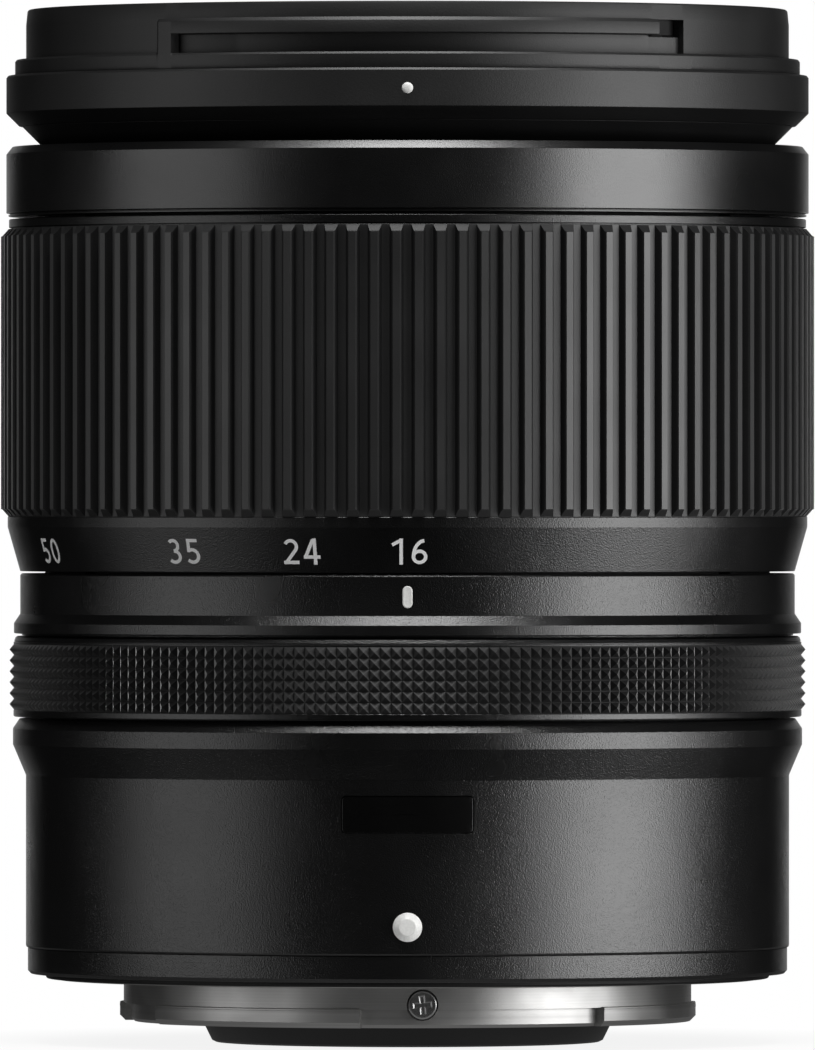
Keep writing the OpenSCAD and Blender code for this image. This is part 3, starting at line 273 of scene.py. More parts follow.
def new_tree(name, inputs):
    """An empty geometry tree with named inputs of (label, socket kind, value)."""
    tree = bpy.data.node_groups.new(name, "GeometryNodeTree")
    tree.is_modifier = True
    tree.interface.new_socket("Geometry", in_out="INPUT", socket_type="NodeSocketGeometry")
    for label, kind, value in inputs:
        socket = tree.interface.new_socket(label, in_out="INPUT", socket_type="NodeSocket" + kind)
        if value is not None:
            socket.default_value = value
    tree.interface.new_socket("Geometry", in_out="OUTPUT", socket_type="NodeSocketGeometry")
    return tree


def node(tree, kind, sources=(), **settings):
    """A node with its settings, its inputs linked or set by (name or number, source)."""
    made = tree.nodes.new(kind)
    for key, value in settings.items():
        setattr(made, key, value)
    for key, source in sources:
        if isinstance(source, bpy.types.NodeSocket):
            tree.links.new(source, made.inputs[key])
        else:
            made.inputs[key].default_value = source
    return made


def maths(tree, operation, first, second=0.0, third=0.0):
    """Output of a Math node of either kind of tree."""
    made = node(tree, "ShaderNodeMath", [(0, first), (1, second), (2, third)], operation=operation)
    return made.outputs[0]


def finished_tree(tree, shape, finish):
    """The tree, ended with its shape as one plain mesh in a finish."""
    whole = node(tree, "GeometryNodeRealizeInstances", [("Geometry", shape)]).outputs[0]
    coated = node(tree, "GeometryNodeSetMaterial", [("Geometry", whole), ("Material", finish)]).outputs[0]
    node(tree, "NodeGroupOutput", [("Geometry", coated)])
    return tree


def ring_tree():
    """Copies of one shape turned around the axis in rows."""
    tree = new_tree("ring of copies", [
        ("Copies", "Int", 12), ("Rows", "Int", 1), ("Row Step", "Float", 0.0), ("First Angle", "Float", 0.0),
        ("Finish", "Material", None)])
    source = tree.nodes.new("NodeGroupInput").outputs
    index = node(tree, "GeometryNodeInputIndex").outputs[0]
    row = maths(tree, "FLOOR", maths(tree, "DIVIDE", maths(tree, "ADD", index, 0.5), source["Copies"]))
    share = maths(tree, "DIVIDE", index, source["Copies"])
    angle = maths(tree, "MULTIPLY_ADD", share, TURN, source["First Angle"])
    height = maths(tree, "MULTIPLY", row, source["Row Step"])
    place = node(tree, "ShaderNodeCombineXYZ", [("Z", height)]).outputs[0]
    euler = node(tree, "ShaderNodeCombineXYZ", [("Z", angle)]).outputs[0]
    rotation = node(tree, "FunctionNodeEulerToRotation", [(0, euler)]).outputs[0]
    count = maths(tree, "MULTIPLY", source["Copies"], source["Rows"])
    points = node(tree, "GeometryNodePoints", [("Count", count), ("Position", place)]).outputs[0]
    copies = node(tree, "GeometryNodeInstanceOnPoints", [
        ("Points", points), ("Instance", source["Geometry"]), ("Rotation", rotation)]).outputs[0]
    return finished_tree(tree, copies, source["Finish"])


def spiral_tree():
    """A three-sided ridge that climbs a cylinder."""
    tree = new_tree("climbing ridge", [
        ("Radius", "Float", 0.01), ("Height", "Float", 0.003), ("Turns", "Float", 4.0),
        ("Ridge", "Float", 0.0003), ("Low", "Float", 0.0), ("Finish", "Material", None)])
    source = tree.nodes.new("NodeGroupInput").outputs
    path = node(tree, "GeometryNodeCurveSpiral", [
        ("Resolution", 240), ("Rotations", source["Turns"]), ("Start Radius", source["Radius"]),
        ("End Radius", source["Radius"]), ("Height", source["Height"])]).outputs[0]
    section = node(tree, "GeometryNodeCurvePrimitiveCircle",
                   [("Resolution", 3), ("Radius", source["Ridge"])], mode="RADIUS").outputs[0]
    ridge = node(tree, "GeometryNodeCurveToMesh", [
        ("Curve", path), ("Profile Curve", section), ("Fill Caps", True)]).outputs[0]
    place = node(tree, "ShaderNodeCombineXYZ", [("Z", source["Low"])]).outputs[0]
    lifted = node(tree, "GeometryNodeTransform", [("Geometry", ridge), ("Translation", place)]).outputs[0]
    return finished_tree(tree, lifted, source["Finish"])


def grown(piece, tree, values):
    """The piece after a geometry tree with these inputs, as a plain mesh."""
    modifier = piece.modifiers.new(tree.name, "NODES")
    modifier.node_group = tree
    for item in tree.interface.items_tree:
        if item.item_type == "SOCKET" and item.in_out == "INPUT" and item.name in values:
            modifier[item.identifier] = values[item.name]
    return settled(piece)


# Finishes

# Share of a noise that colours and roughness run over
NOISE_MIDDLE = (0.3, 0.7)
# Size in millimetres of uneven patches, and how far they change the roughness
PATCH_SIZE, PATCH_ROUGH = 9.0, 0.03
METAL_PATCH_SIZE, METAL_PATCH_ROUGH = 4.0, 0.04
SHEEN_ROUGH = 0.35


def new_finish(name, **constants):
    """A material with its shader, and the object's coordinates."""
    material = bpy.data.materials.new(name)
    material.use_nodes = True
    tree = material.node_tree
    tree.nodes.clear()
    shader = node(tree, "ShaderNodeBsdfPrincipled", constants.items())
    node(tree, "ShaderNodeOutputMaterial", [("Surface", shader.outputs[0])])
    return material, tree, shader, node(tree, "ShaderNodeTexCoord").outputs["Object"]


def grain(tree, place, size, detail=2.0):
    """Noise with features of about this size in millimetres."""
    made = node(tree, "ShaderNodeTexNoise", [
        ("Vector", place), ("Scale", 1 / (size * MM)), ("Detail", detail)])
    return made.outputs[0]


def mapped(tree, value, first, last, low, high):
    """A value that runs from low to high while another runs from first to last."""
    made = node(tree, "ShaderNodeMapRange", [(0, value), (1, first), (2, last), (3, low), (4, high)])
    return made.outputs[0]


def between(tree, share, low, high):
    """A value that runs from low to high with the middle of a noise."""
    return mapped(tree, share, *NOISE_MIDDLE, low, high)


def tinted(tree, share, dark, light):
    """A colour that runs from dark to light with the middle of a noise."""
    ramp = node(tree, "ShaderNodeValToRGB", [("Fac", share)])
    for stop, position, colour in zip(ramp.color_ramp.elements, NOISE_MIDDLE, (dark, light)):
        stop.position = position
        stop.color = (*colour, 1)
    return ramp.outputs[0]


def raised(tree, shader, height, depth):
    """Bump of this depth in millimetres on the shader."""
    bump = node(tree, "ShaderNodeBump", [("Height", height), ("Distance", depth * MM), ("Strength", 1.0)])
    tree.links.new(bump.outputs[0], shader.inputs["Normal"])


def moulded(name, dark, light, rough, gloss, size, depth, sheen=0.0):
    """Moulded plastic or rubber with a fine even grain and slightly uneven gloss."""
    material, tree, shader, place = new_finish(name, **{
        "Specular IOR Level": gloss, "Sheen Weight": sheen, "Sheen Roughness": SHEEN_ROUGH})
    fine = grain(tree, place, size, 0.0)
    broad = grain(tree, place, PATCH_SIZE)
    tree.links.new(tinted(tree, fine, dark, light), shader.inputs["Base Color"])
    tree.links.new(between(tree, broad, rough - PATCH_ROUGH, rough + PATCH_ROUGH), shader.inputs["Roughness"])
    raised(tree, shader, fine, depth)
    return material


def lathe_marks(tree, place, size):
    """Noise that only changes with radius and height, as a turning tool leaves it."""
    parts = node(tree, "ShaderNodeSeparateXYZ", [(0, place)]).outputs
    squares = maths(tree, "ADD", maths(tree, "MULTIPLY", parts[0], parts[0]),
                    maths(tree, "MULTIPLY", parts[1], parts[1]))
    radius = maths(tree, "SQRT", squares)
    line = node(tree, "ShaderNodeCombineXYZ", [("X", radius), ("Z", parts[2])]).outputs[0]
    return grain(tree, line, size, 4.0)


def turned_metal(name, dark, light, rough, size=0.25, depth=0.0015):
    """Metal with fine turning marks."""
    material, tree, shader, place = new_finish(name, **{"Metallic": 1.0})
    marks = lathe_marks(tree, place, size)
    broad = grain(tree, place, METAL_PATCH_SIZE)
    low, high = rough - METAL_PATCH_ROUGH, rough + METAL_PATCH_ROUGH
    tree.links.new(tinted(tree, marks, dark, light), shader.inputs["Base Color"])
    tree.links.new(between(tree, broad, low, high), shader.inputs["Roughness"])
    raised(tree, shader, marks, depth)
    return material


def coated_glass(name):
    """Clear glass with a thin coating and a trace of dust."""
    material, tree, shader, place = new_finish(name, **{
        "Transmission Weight": 1.0, "IOR": 1.52, "Thin Film Thickness": 112.0, "Thin Film IOR": 1.38})
    dusty, clear = (0.96, 0.975, 0.97), (0.985, 0.99, 0.985)
    dust = grain(tree, place, 0.6, 3.0)
    tree.links.new(tinted(tree, dust, dusty, clear), shader.inputs["Base Color"])
    tree.links.new(between(tree, dust, 0.0, 0.012), shader.inputs["Roughness"])
    return material


def circuit_board(name):
    """Green board with darker tracks."""
    material, tree, shader, place = new_finish(name, **{"Specular IOR Level": 0.5})
    track, board = (0.008, 0.05, 0.02), (0.02, 0.12, 0.05)
    tracks = grain(tree, place, 1.4, 0.0)
    tree.links.new(tinted(tree, tracks, track, board), shader.inputs["Base Color"])
    tree.links.new(between(tree, tracks, 0.3, 0.5), shader.inputs["Roughness"])
    raised(tree, shader, tracks, 0.02)
    return material


# Plastics and rubbers, with the size and depth of their grain in millimetres
black_plastic = moulded("black_casing", (0.0010, 0.0010, 0.0011), (0.0028, 0.0028, 0.0029),
                        rough=0.30, gloss=0.8, size=0.105, depth=0.026)
scale_plastic = moulded("black_scale", (0.0010, 0.0010, 0.0011), (0.0026, 0.0026, 0.0027),
                        rough=0.31, gloss=0.75, size=0.105, depth=0.021)
trim_plastic = moulded("smooth_front_ring", (0.0010, 0.0010, 0.0011), (0.0024, 0.0024, 0.0025),
                       rough=0.30, gloss=0.9, size=0.09, depth=0.011)
matt_plastic = moulded("matt_front", (0.0018, 0.0018, 0.00185), (0.0038, 0.0038, 0.00391),
                       rough=0.50, gloss=0.7, size=0.14, depth=0.008)
knurl_plastic = moulded("knurled_plastic", (0.0008, 0.0008, 0.0009), (0.0018, 0.0018, 0.0019),
                        rough=0.42, gloss=0.20, size=0.08, depth=0.003, sheen=0.90)
# Darker, duller matt black: the sliding barrel's own finish, and painted shade on the collar's downward faces
matt_black_and_painted_shade = moulded("deep_matt_black", (0.0010, 0.0010, 0.0011), (0.0020, 0.0020, 0.0021),
                       rough=0.55, gloss=0.28, size=0.14, depth=0.006)
inner_plastic = moulded("inner_black", (0.006, 0.006, 0.00618), (0.01, 0.01, 0.0103),
                        rough=0.62, gloss=0.4, size=0.2, depth=0.01)
grip_rubber = moulded("grip_rubber", (0.0045, 0.0045, 0.0046), (0.0075, 0.0075, 0.0077),
                      rough=0.46, gloss=0.95, size=0.10, depth=0.006, sheen=0.25)
# Lighter copy of the grip rubber for the groove floors: painted light that lifts the shade between the ribs
groove_floor_painted_light = moulded("grip_groove_painted_light", (0.0070, 0.0070, 0.0071), (0.0105, 0.0105, 0.0107),
                        rough=0.50, gloss=0.75, size=0.10, depth=0.006)
# Copy of the grip rubber for the rib flanks, lighter in colour and far less glossy: painted light and painted
# shade for how light falls on the flanks
flank_painted_light_and_shade = moulded("grip_flank_painted_light_and_shade", (0.0060, 0.0060, 0.0062), (0.0090, 0.0090, 0.0092),
                       rough=0.56, gloss=0.25, size=0.10, depth=0.006)
# Copy of the grip rubber with less gloss for the upward-facing rib ends: painted shade that dims the top
# lamp's highlight there
bevel_painted_shade = moulded("grip_bevel_painted_shade", (0.0045, 0.0045, 0.0046), (0.0075, 0.0075, 0.0077),
                       rough=0.52, gloss=0.45, size=0.10, depth=0.006)
seal_rubber = moulded("seal_rubber", (0.002, 0.002, 0.00206), (0.004, 0.004, 0.00412),
                      rough=0.55, gloss=0.4, size=0.10, depth=0.005)
badge_plastic = moulded("bare_badge", (0.0008, 0.0008, 0.00082), (0.0016, 0.0016, 0.00165),
                        rough=0.24, gloss=0.8, size=0.10, depth=0.002)
white_mark = moulded("white_mark", (0.78, 0.78, 0.76), (0.85, 0.85, 0.83),
                     rough=0.35, gloss=0.5, size=0.20, depth=0.002)
scale_ink = moulded("scale_ink", (0.90, 0.90, 0.90), (0.95, 0.95, 0.95),
                    rough=0.55, gloss=0.3, size=0.12, depth=0.002)

# Metals, with the size of their turning marks in millimetres
mount_metal = turned_metal("mount_metal", (0.43, 0.427, 0.422), (0.53, 0.527, 0.52), rough=0.40)
cam_metal = turned_metal("dark_cam", (0.03, 0.03, 0.032), (0.05, 0.05, 0.053), rough=0.42)
bright_steel = turned_metal("bright_steel", (0.42, 0.42, 0.42), (0.55, 0.55, 0.55), rough=0.28, size=0.12)
gold_brass = turned_metal("gold_brass", (0.62, 0.43, 0.16), (0.75, 0.55, 0.24), rough=0.22, size=0.15)
blade_metal = turned_metal("blade_metal", (0.02, 0.02, 0.021), (0.035, 0.035, 0.037), rough=0.45, size=0.2)
lens_glass = coated_glass("lens_glass")
green_board = circuit_board("green_board")

SLOT_FINISH = {
    "black_plastic": black_plastic, "satin_plastic": matt_plastic, "inner_plastic": inner_plastic,
    "rubber": seal_rubber, "mount_metal": mount_metal, "cam_metal": cam_metal, "steel": bright_steel,
    "brass": gold_brass, "white_mark": white_mark, "glass": lens_glass, "board": green_board,
    "blade_metal": blade_metal}
for cad_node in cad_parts.values():
    for holder in cad_node.material_slots:
        holder.material = SLOT_FINISH[holder.material.name.split(".")[0]]


def dressed(piece, finish):
    """The piece in one finish."""
    piece.data.materials.clear()
    piece.data.materials.append(finish)
    return piece


def refinished(piece, finish, chosen):
    """The piece with a second finish on the faces that are chosen."""
    piece.data.materials.append(finish)
    for face in piece.data.polygons:
        if chosen(face):
            face.material_index = len(piece.data.materials) - 1
    return piece


def looks_down(face):
    """True for a face that looks down."""
    return face.normal.z < -0.3


def is_flank(face):
    """True for an upright face that looks along the ring more than out of it."""
    out = Vector((face.center.x, face.center.y, 0)).normalized()
    return face.normal.dot(out) < 0.6 and abs(face.normal.z) < 0.5


def is_knurl_land(face):
    """True for a face of the control ring between the points of its knurl."""
    return abs(Vector(face.center[:2]).length / MM - knurl_land_r) < 0.01 and abs(face.normal.z) < 0.5


def looks_up(face):
    """True for a face that looks up."""
    return face.normal.z > 0.3


def placed(piece, body, slot, finish, *nodes):
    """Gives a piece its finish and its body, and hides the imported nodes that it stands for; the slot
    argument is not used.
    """
    if finish:
        dressed(piece, finish)
    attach(piece, body)
    if nodes:
        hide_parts(*nodes)


# Rear of the barrel

def rear_ring():
    """Ring around the flange, over the seal."""
    bore = rear_ring_r - 1.57
    shelf = bore - 6.2
    step = seal_top
    return turned("rear_ring_piece", [
        (shelf, step, 0.05), (bore, step, 0.05), (bore, ring_low, 0.1), (rear_ring_r - 0.28, ring_low, 0.1),
        (rear_ring_r, ring_low + 0.3, 0.1), (rear_ring_r, seam, 0.07), (shelf, seam, 0.05)])


def seal_lip():
    """Rubber lip between the flange and the rear ring."""
    bore = seal_r - 0.75
    return turned("mount_seal_lip", [
        (bore, seal_low, 0.1), (seal_r, seal_low, 0.22), (seal_r, seal_top, 0.05), (bore, seal_top, 0.05)])


def casing_section(half, recess):
    """Outline of the casing where the badge's recess has this half height and depth."""
    bevel_h, rim_h, taper_h = 0.82, 1.41, 2.79
    top = body_top + 0.14
    taper_top = body_top - bevel_h - rim_h
    taper_low = taper_top - taper_h
    low, high = badge_z - half, badge_z + half
    floor = body_r - recess
    return [(seat_r, seam), (body_r - 0.2, seam), (body_r - 0.06, seam + 0.06), (body_r, seam + 0.2),
            (body_r, low), (floor, low + 0.04), (floor, high - 0.04), (body_r, high),
            (body_r, taper_low - 0.04), (body_r + 0.01, taper_low),
            (body_r + 0.035, taper_low + 0.07), (body_flare_r - 0.03, taper_top - 0.07),
            (body_flare_r - 0.008, taper_top - 0.02), (body_flare_r, taper_top + 0.04),
            (body_flare_r, top - 0.94), (body_flare_r - 0.01, top - 0.9),
            (body_flare_r - 0.04, top - 0.85), (body_flare_r - 0.56, top - 0.08),
            (body_flare_r - 0.6, top - 0.03), (body_flare_r - 0.66, top), (seat_r, top)]


def rear_casing():
    """Casing with a flared rim and a shallow recess for the badge."""
    recess_w, recess_h, depth, corner, corner_steps = 12.0, 3.43, 0.24, 0.4, 6
    half_h = recess_h / 2
    half_angle = math.degrees(recess_w / 2 / body_r)
    corner_angle = math.degrees(corner / body_r)
    stations = []
    for i in range(RING_STEPS):
        angle = 360.0 * i / RING_STEPS + 0.5
        off = abs((angle - FRONT + 180) % 360 - 180)
        inside = off < half_angle - corner_angle - 0.1
        if inside or off > half_angle + 0.2:
            stations.append((angle, casing_section(half_h, depth if inside else 0.0)))
    for side in (-1, 1):
        for k in range(corner_steps + 1):
            turn = math.radians(90 * k / corner_steps)
            off = half_angle - corner_angle * (1 - math.sin(turn))
            half = half_h - corner * (1 - math.cos(turn))
            stations.append((FRONT + 360 + side * off, casing_section(half, depth)))
        stations.append((FRONT + 360 + side * (half_angle + 0.05), casing_section(half_h - corner, 0.0)))
    return turned_in_stations("rear_casing", stations, sharp=14)


def badge():
    """Bare plate in the casing's recess."""
    width, height, corner = 11.9, 3.33, 0.36
    layers = [(0.0, -0.3), (0.0, -0.16), (0.03, -0.11), (0.08, -0.1), (0.5, -0.1), (1.0, -0.1), (1.68, -0.1)]
    return plaque("badge_piece", width, height, corner, layers, body_r, badge_z)


def mount_bead():
    """White bead with a small flat face."""
    across = 2.64
    layers = [(0.0, -0.4), (0.0, 0.06), (0.03, 0.12), (0.08, 0.17), (0.3, 0.4), (0.52, 0.61), (0.56, 0.64),
              (0.61, 0.655), (0.66, 0.66), (0.9, 0.66), (1.2, 0.66)]
    return plaque("mount_bead", across, across, across / 2, layers, body_r, seam + 2.6, sharp=24)


def cross_loop(arm, reach, parts=4):
    """Points around an upright cross."""
    corners = []
    for k in range(4):
        c, s = round(math.cos(math.pi / 2 * k)), round(math.sin(math.pi / 2 * k))
        corners += [(x * c - y * s, x * s + y * c) for x, y in ((reach, -arm), (reach, arm), (arm, arm))]
    loop = []
    for (x0, y0), (x1, y1) in zip(corners, corners[1:] + corners[:1]):
        loop += [(x0 + (x1 - x0) * k / parts, y0 + (y1 - y0) * k / parts) for k in range(parts)]
    return loop


def stop_screw():
    """Round screw with a cross recess in the side of the bayonet."""
    low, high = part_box("bayonet_stop_screw")
    head, face_r, turn = 1.3, 25.98, math.radians(FRONT + 3)
    centre_z = (low.z + high.z) / 2 / MM
    arm, reach, slope, depth, lean = 0.2, 0.8, 0.07, 0.12, math.radians(5)
    rays = [Vector(point).normalized() for point in cross_loop(arm, reach)]
    rings = []
    for r, lift in ((head, -0.9), (head, -0.13), (head - 0.04, -0.04), (head - 0.13, 0.0), (head - 0.2, 0.0)):
        rings.append([(ray.x * r, ray.y * r, lift) for ray in rays])
    for grow, lift in ((slope, 0.0), (-slope, -depth)):
        rings.append([(x, y, lift) for x, y in cross_loop(arm + grow, reach + grow)])
    verts = []
    for x, y, lift in (point for ring in rings for point in ring):
        along = x * math.cos(lean) - y * math.sin(lean)
        up = x * math.sin(lean) + y * math.cos(lean)
        out = face_r + lift
        verts.append((out * math.cos(turn) - along * math.sin(turn),
                      out * math.sin(turn) + along * math.cos(turn), centre_z + up))
    faces = stacked_faces(len(rings), len(rays))
    return evenly_shaded(new_piece("stop_screw", verts, faces), sharp=28)


def lug_edges():
    """Eased upper edges of the four lugs of the bayonet."""
    low, _, _ = span("bayonet_mount")
    lug_r, top, steps = 26.4, low + 1.7, 50
    section = [(lug_r - 0.5, top - 0.4), (lug_r + 0.015, top - 0.4), (lug_r + 0.015, top - 0.16),
               (lug_r - 0.14, top + 0.065), (lug_r - 0.5, top + 0.065)]
    count = len(section)
    verts, faces = [], []
    for first, sweep in LUG_SECTORS:
        start = len(verts)
        for i in range(steps + 1):
            a = math.radians(FRONT + first + sweep * i / steps)
            verts += [(r * math.cos(a), r * math.sin(a), z) for r, z in section]
        for i in range(steps):
            here = start + i * count
            faces += strip(here, here + count, count)
        faces.append(tuple(start + j for j in range(count)))
        faces.append(tuple(start + steps * count + j for j in reversed(range(count))))
    return evenly_shaded(new_piece("lug_edges", verts, faces), sharp=30)


def baffle_cone():
    """Skin over the outer cone of the rear light baffle."""
    low, _, _ = span("rear_baffle")
    root_z, inner = low + 2.15, 16.9
    rim_r, root_r = 18.06, 18.88
    return turned("baffle_cone", [
        (inner, low + 0.06, 0.02), (rim_r - 0.5, low + 0.03, 0.04), (rim_r - 0.15, low + 0.2, 0.15),
        (rim_r, low + 0.5, 0.2), (root_r, root_z, 0.05), (inner, root_z, 0.02)])


# Control ring and index ring

def knurl_points():
    """One pyramid of the knurl, in its first row, a little smaller than its place."""
    half = math.pi / KNURL_COLUMNS
    share, sunk = 0.965, 0.04
    grow = share * (1 + sunk / (knurl_r - knurl_land_r))
    foot_r = knurl_land_r - sunk
    middle = knurl_low + KNURL_ROW_H / 2
    ring = []
    for a, z in ((-1, -1), (1, -1), (1, 1), (-1, 1)):
        turn = a * half * grow
        ring.append((foot_r * math.cos(turn), foot_r * math.sin(turn), middle + z * KNURL_ROW_H / 2 * grow))
    faces = [(0, 1, 4), (1, 2, 4), (2, 3, 4), (3, 0, 4), (3, 2, 1, 0)]
    return new_piece("knurl_points", ring + [(knurl_r, 0.0, middle)], faces, smooth=False)


def control_ring(tree):
    """Control ring with rounded rims, a fine double line and a knurled field."""
    field_top = knurl_low + KNURL_ROWS * KNURL_ROW_H
    rim = knurl_floor_r
    low, top = control_low - 0.13, control_top + 0.08
    ring = turned("control_ring_piece", [
        (ride_r, low, 0.05), (rim, low, 0.16), (rim, knurl_low - 0.08, 0.03),
        (knurl_land_r, knurl_low - 0.02, 0.02), (knurl_land_r, field_top + 0.05, 0.02),
        (rim - 0.005, field_top + 0.09, 0.02), (rim - 0.02, field_top + 0.2, 0.02),
        (rim - 0.13, field_top + 0.23, 0.01), (rim - 0.13, field_top + 0.28, 0.01),
        (rim - 0.06, field_top + 0.31, 0.02), (rim - 0.2, top - 0.1, 0.06), (rim - 0.36, top, 0.08),
        (ride_r, top, 0.05)])
    refinished(dressed(ring, scale_plastic), knurl_plastic, is_knurl_land)
    points = grown(knurl_points(), tree, {
        "Copies": KNURL_COLUMNS, "Rows": KNURL_ROWS, "Row Step": KNURL_ROW_H * MM,
        "First Angle": math.radians(FRONT), "Finish": knurl_plastic})
    return joined(ring, points)


def index_ring():
    """Fixed ring with a flared rim below its index mark."""
    return turned("index_ring_piece", [
        (seat_r, index_low - 0.28, 0.05), (index_rim_r - 0.75, index_low - 0.28, 0.03),
        (index_rim_r - 0.7, index_low - 0.11, 0.03), (index_rim_r, index_low - 0.11, 0.12),
        (index_rim_r, index_low + 0.83, 0.06), (index_r, index_low + 1.69, 0.08),
        (index_r, index_top - 0.02, 0.05), (index_r - 0.15, index_top + 0.14, 0.05),
        (seat_r, index_top + 0.14, 0.05)])


def index_mark():
    """White mark with a rounded edge."""
    width, height = 0.9, 2.0
    layers = [(0.0, -0.2), (0.0, 0.0), (0.02, 0.035), (0.07, 0.06), (0.14, 0.055), (0.2, 0.045), (0.3, 0.04),
              (0.43, 0.04)]
    return plaque("zoom_mark", width, height, width / 2, layers, index_r, index_top - 1.85)


# Zoom ring

def zoom_ring():
    """Zoom ring with a tapered scale and a seat for the grip."""
    seat = grip_bore_r - 0.08
    rim = band_r - 0.12
    low, seat_top = zoom_low - 0.1, grip_top + 0.12
    return turned("zoom_ring_piece", [
        (ride_r, low, 0.05), (band_r - scale_taper, low, 0.1), (band_r, zoom_low + scale_h, 0.08),
        (band_r, grip_low, 0.08), (seat, grip_low, 0.03), (seat, seat_top, 0.03), (rim, seat_top, 0.06),
        (rim, zoom_top, 0.12), (ride_r, zoom_top, 0.05)])


def arc(x, y, wide, tall, first, last, steps=14):
    """Points along part of an ellipse, from one angle to another in degrees."""
    turns = [math.radians(first + (last - first) * k / steps) for k in range(steps + 1)]
    return [(x + wide * math.cos(t), y + tall * math.sin(t)) for t in turns]


# Strokes of each digit in a box one unit high
DIGITS = {
    "0": [arc(0.31, 0.5, 0.235, 0.415, 90, 450, 28)],
    "1": [[(0.02, 0.75), (0.36, 0.94)], [(0.36, 0.0), (0.36, 1.0)]],
    "2": [arc(0.30, 0.69, 0.225, 0.225, 155, -35) + [(0.10, 0.08)], [(0.0, 0.085), (0.60, 0.085)]],
    "3": [arc(0.27, 0.715, 0.205, 0.2, 140, -90), arc(0.27, 0.30, 0.245, 0.215, 90, -140)],
    "4": [[(0.385, 0.955), (0.07, 0.30)], [(0.0, 0.29), (0.64, 0.29)], [(0.44, 0.0), (0.44, 1.0)]],
    "5": [[(0.09, 0.915), (0.54, 0.915)], [(0.165, 0.98), (0.135, 0.47)],
          arc(0.27, 0.325, 0.255, 0.24, 128, -140)],
    "6": [arc(0.31, 0.30, 0.23, 0.215, 180, -180, 28), arc(0.50, 0.30, 0.42, 0.615, 180, 92)],
}
# Each number with its angle from the front in degrees, its widening and the step between its digits
NUMBERS = (("16", 0.2, 1.02, 0.74), ("24", -15.3, 1.02, 0.79), ("35", -34.0, 1.06, 0.79),
           ("50", -64.1, 1.06, 0.79))


def ribbon(points, width):
    """Left edge of a stroke along these points, then its right edge back to the start."""
    left, right = [], []
    for i, (x, y) in enumerate(points):
        x0, y0 = points[max(i - 1, 0)]
        x1, y1 = points[min(i + 1, len(points) - 1)]
        across = Vector((y0 - y1, x1 - x0)).normalized() * width / 2
        left.append((x + across.x, y + across.y))
        right.append((x - across.x, y - across.y))
    return left + right[::-1]


def stroke_faces(first, count):
    """Faces of a thin stroke, whose upper loop and then lower loop start at this point."""
    around = 2 * count
    faces = []
    for i in range(count - 1):
        quad = (i, around - 1 - i, around - 2 - i, i + 1)
        faces.append(tuple(first + j for j in quad))
        faces.append(tuple(first + around + j for j in reversed(quad)))
    for j in range(around):
        k = (j + 1) % around
        faces.append((first + j, first + k, first + around + k, first + around + j))
    return faces


def numerals():
    """Focal lengths along the scale, as thin ink strokes on its taper."""
    height, middle_z, stroke = 2.35, 39.27, 0.128
    ink, ink_step, sunk = 0.02, 0.001, -0.06
    low = zoom_low - 0.1
    slope = scale_taper / (zoom_low + scale_h - low)
    verts, faces = [], []
    for text, turn, widen, step in NUMBERS:
        strokes = [[(x + step * i, y) for x, y in path]
                   for i, digit in enumerate(text) for path in DIGITS[digit]]
        xs = [x for path in strokes for x, y in path]
        centre = (min(xs) + max(xs)) / 2
        for layer, path in enumerate(strokes):
            first, loop = len(verts), ribbon(path, stroke)
            for lift in (ink + ink_step * layer, sunk):
                for x, y in loop:
                    z = middle_z + (y - 0.5) * height
                    r = band_r - scale_taper + (z - low) * slope + lift
                    a = math.radians(FRONT + turn) + (x - centre) * height * widen / r
                    verts.append((r * math.cos(a), r * math.sin(a), z))
            faces += stroke_faces(first, len(path))
    return new_piece("scale_numerals", verts, faces, smooth=False)


def grip_rib():
    """One straight rib with steep flanks, eased edges and bevelled ends, at angle zero."""
    pitch = TURN / RIBS
    foot, side, top = 0.325 * pitch, 0.215 * pitch, 0.16 * pitch
    sunk_r = grip_floor_r - groove_more - 0.03
    ease, bevel, top_ease = 0.15, 0.62, 0.08
    low, high = grip_low, grip_top
    levels = [(sunk_r, foot, low + 0.01, high - 0.01),
              (grip_r - ease, side, low + bevel, high - bevel),
              (grip_r, top, low + bevel + top_ease, high - bevel - top_ease)]
    verts = []
    for r, half, z0, z1 in levels:
        for a, z in ((-half, z0), (half, z0), (half, z1), (-half, z1)):
            verts.append((r * math.cos(a), r * math.sin(a), z))
    return new_piece("grip_ribs", verts, stacked_faces(len(levels), 4), smooth=False)


def zoom_grip(tree):
    """Rubber sleeve with straight ribs."""
    floor = grip_floor_r - groove_more
    sleeve = turned("zoom_grip_piece", [
        (grip_bore_r, grip_low, 0.03), (floor, grip_low, 0.04), (floor, grip_top, 0.04),
        (grip_bore_r, grip_top, 0.03)])
    # The groove floor takes the lighter rubber copy, painted light against the shade between the ribs
    dressed(sleeve, groove_floor_painted_light)
    first = math.radians(FRONT) + math.pi / RIBS
    ribs = grown(grip_rib(), tree, {"Copies": RIBS, "Rows": 1, "First Angle": first, "Finish": grip_rubber})
    # Rib flanks take their own rubber copy: painted light and painted shade on the flanks
    refinished(ribs, flank_painted_light_and_shade, is_flank)
    # Upward-facing rib ends take the duller copy: painted shade under the top lamp
    return joined(sleeve, refinished(ribs, bevel_painted_shade, looks_up))


# Front of the barrel

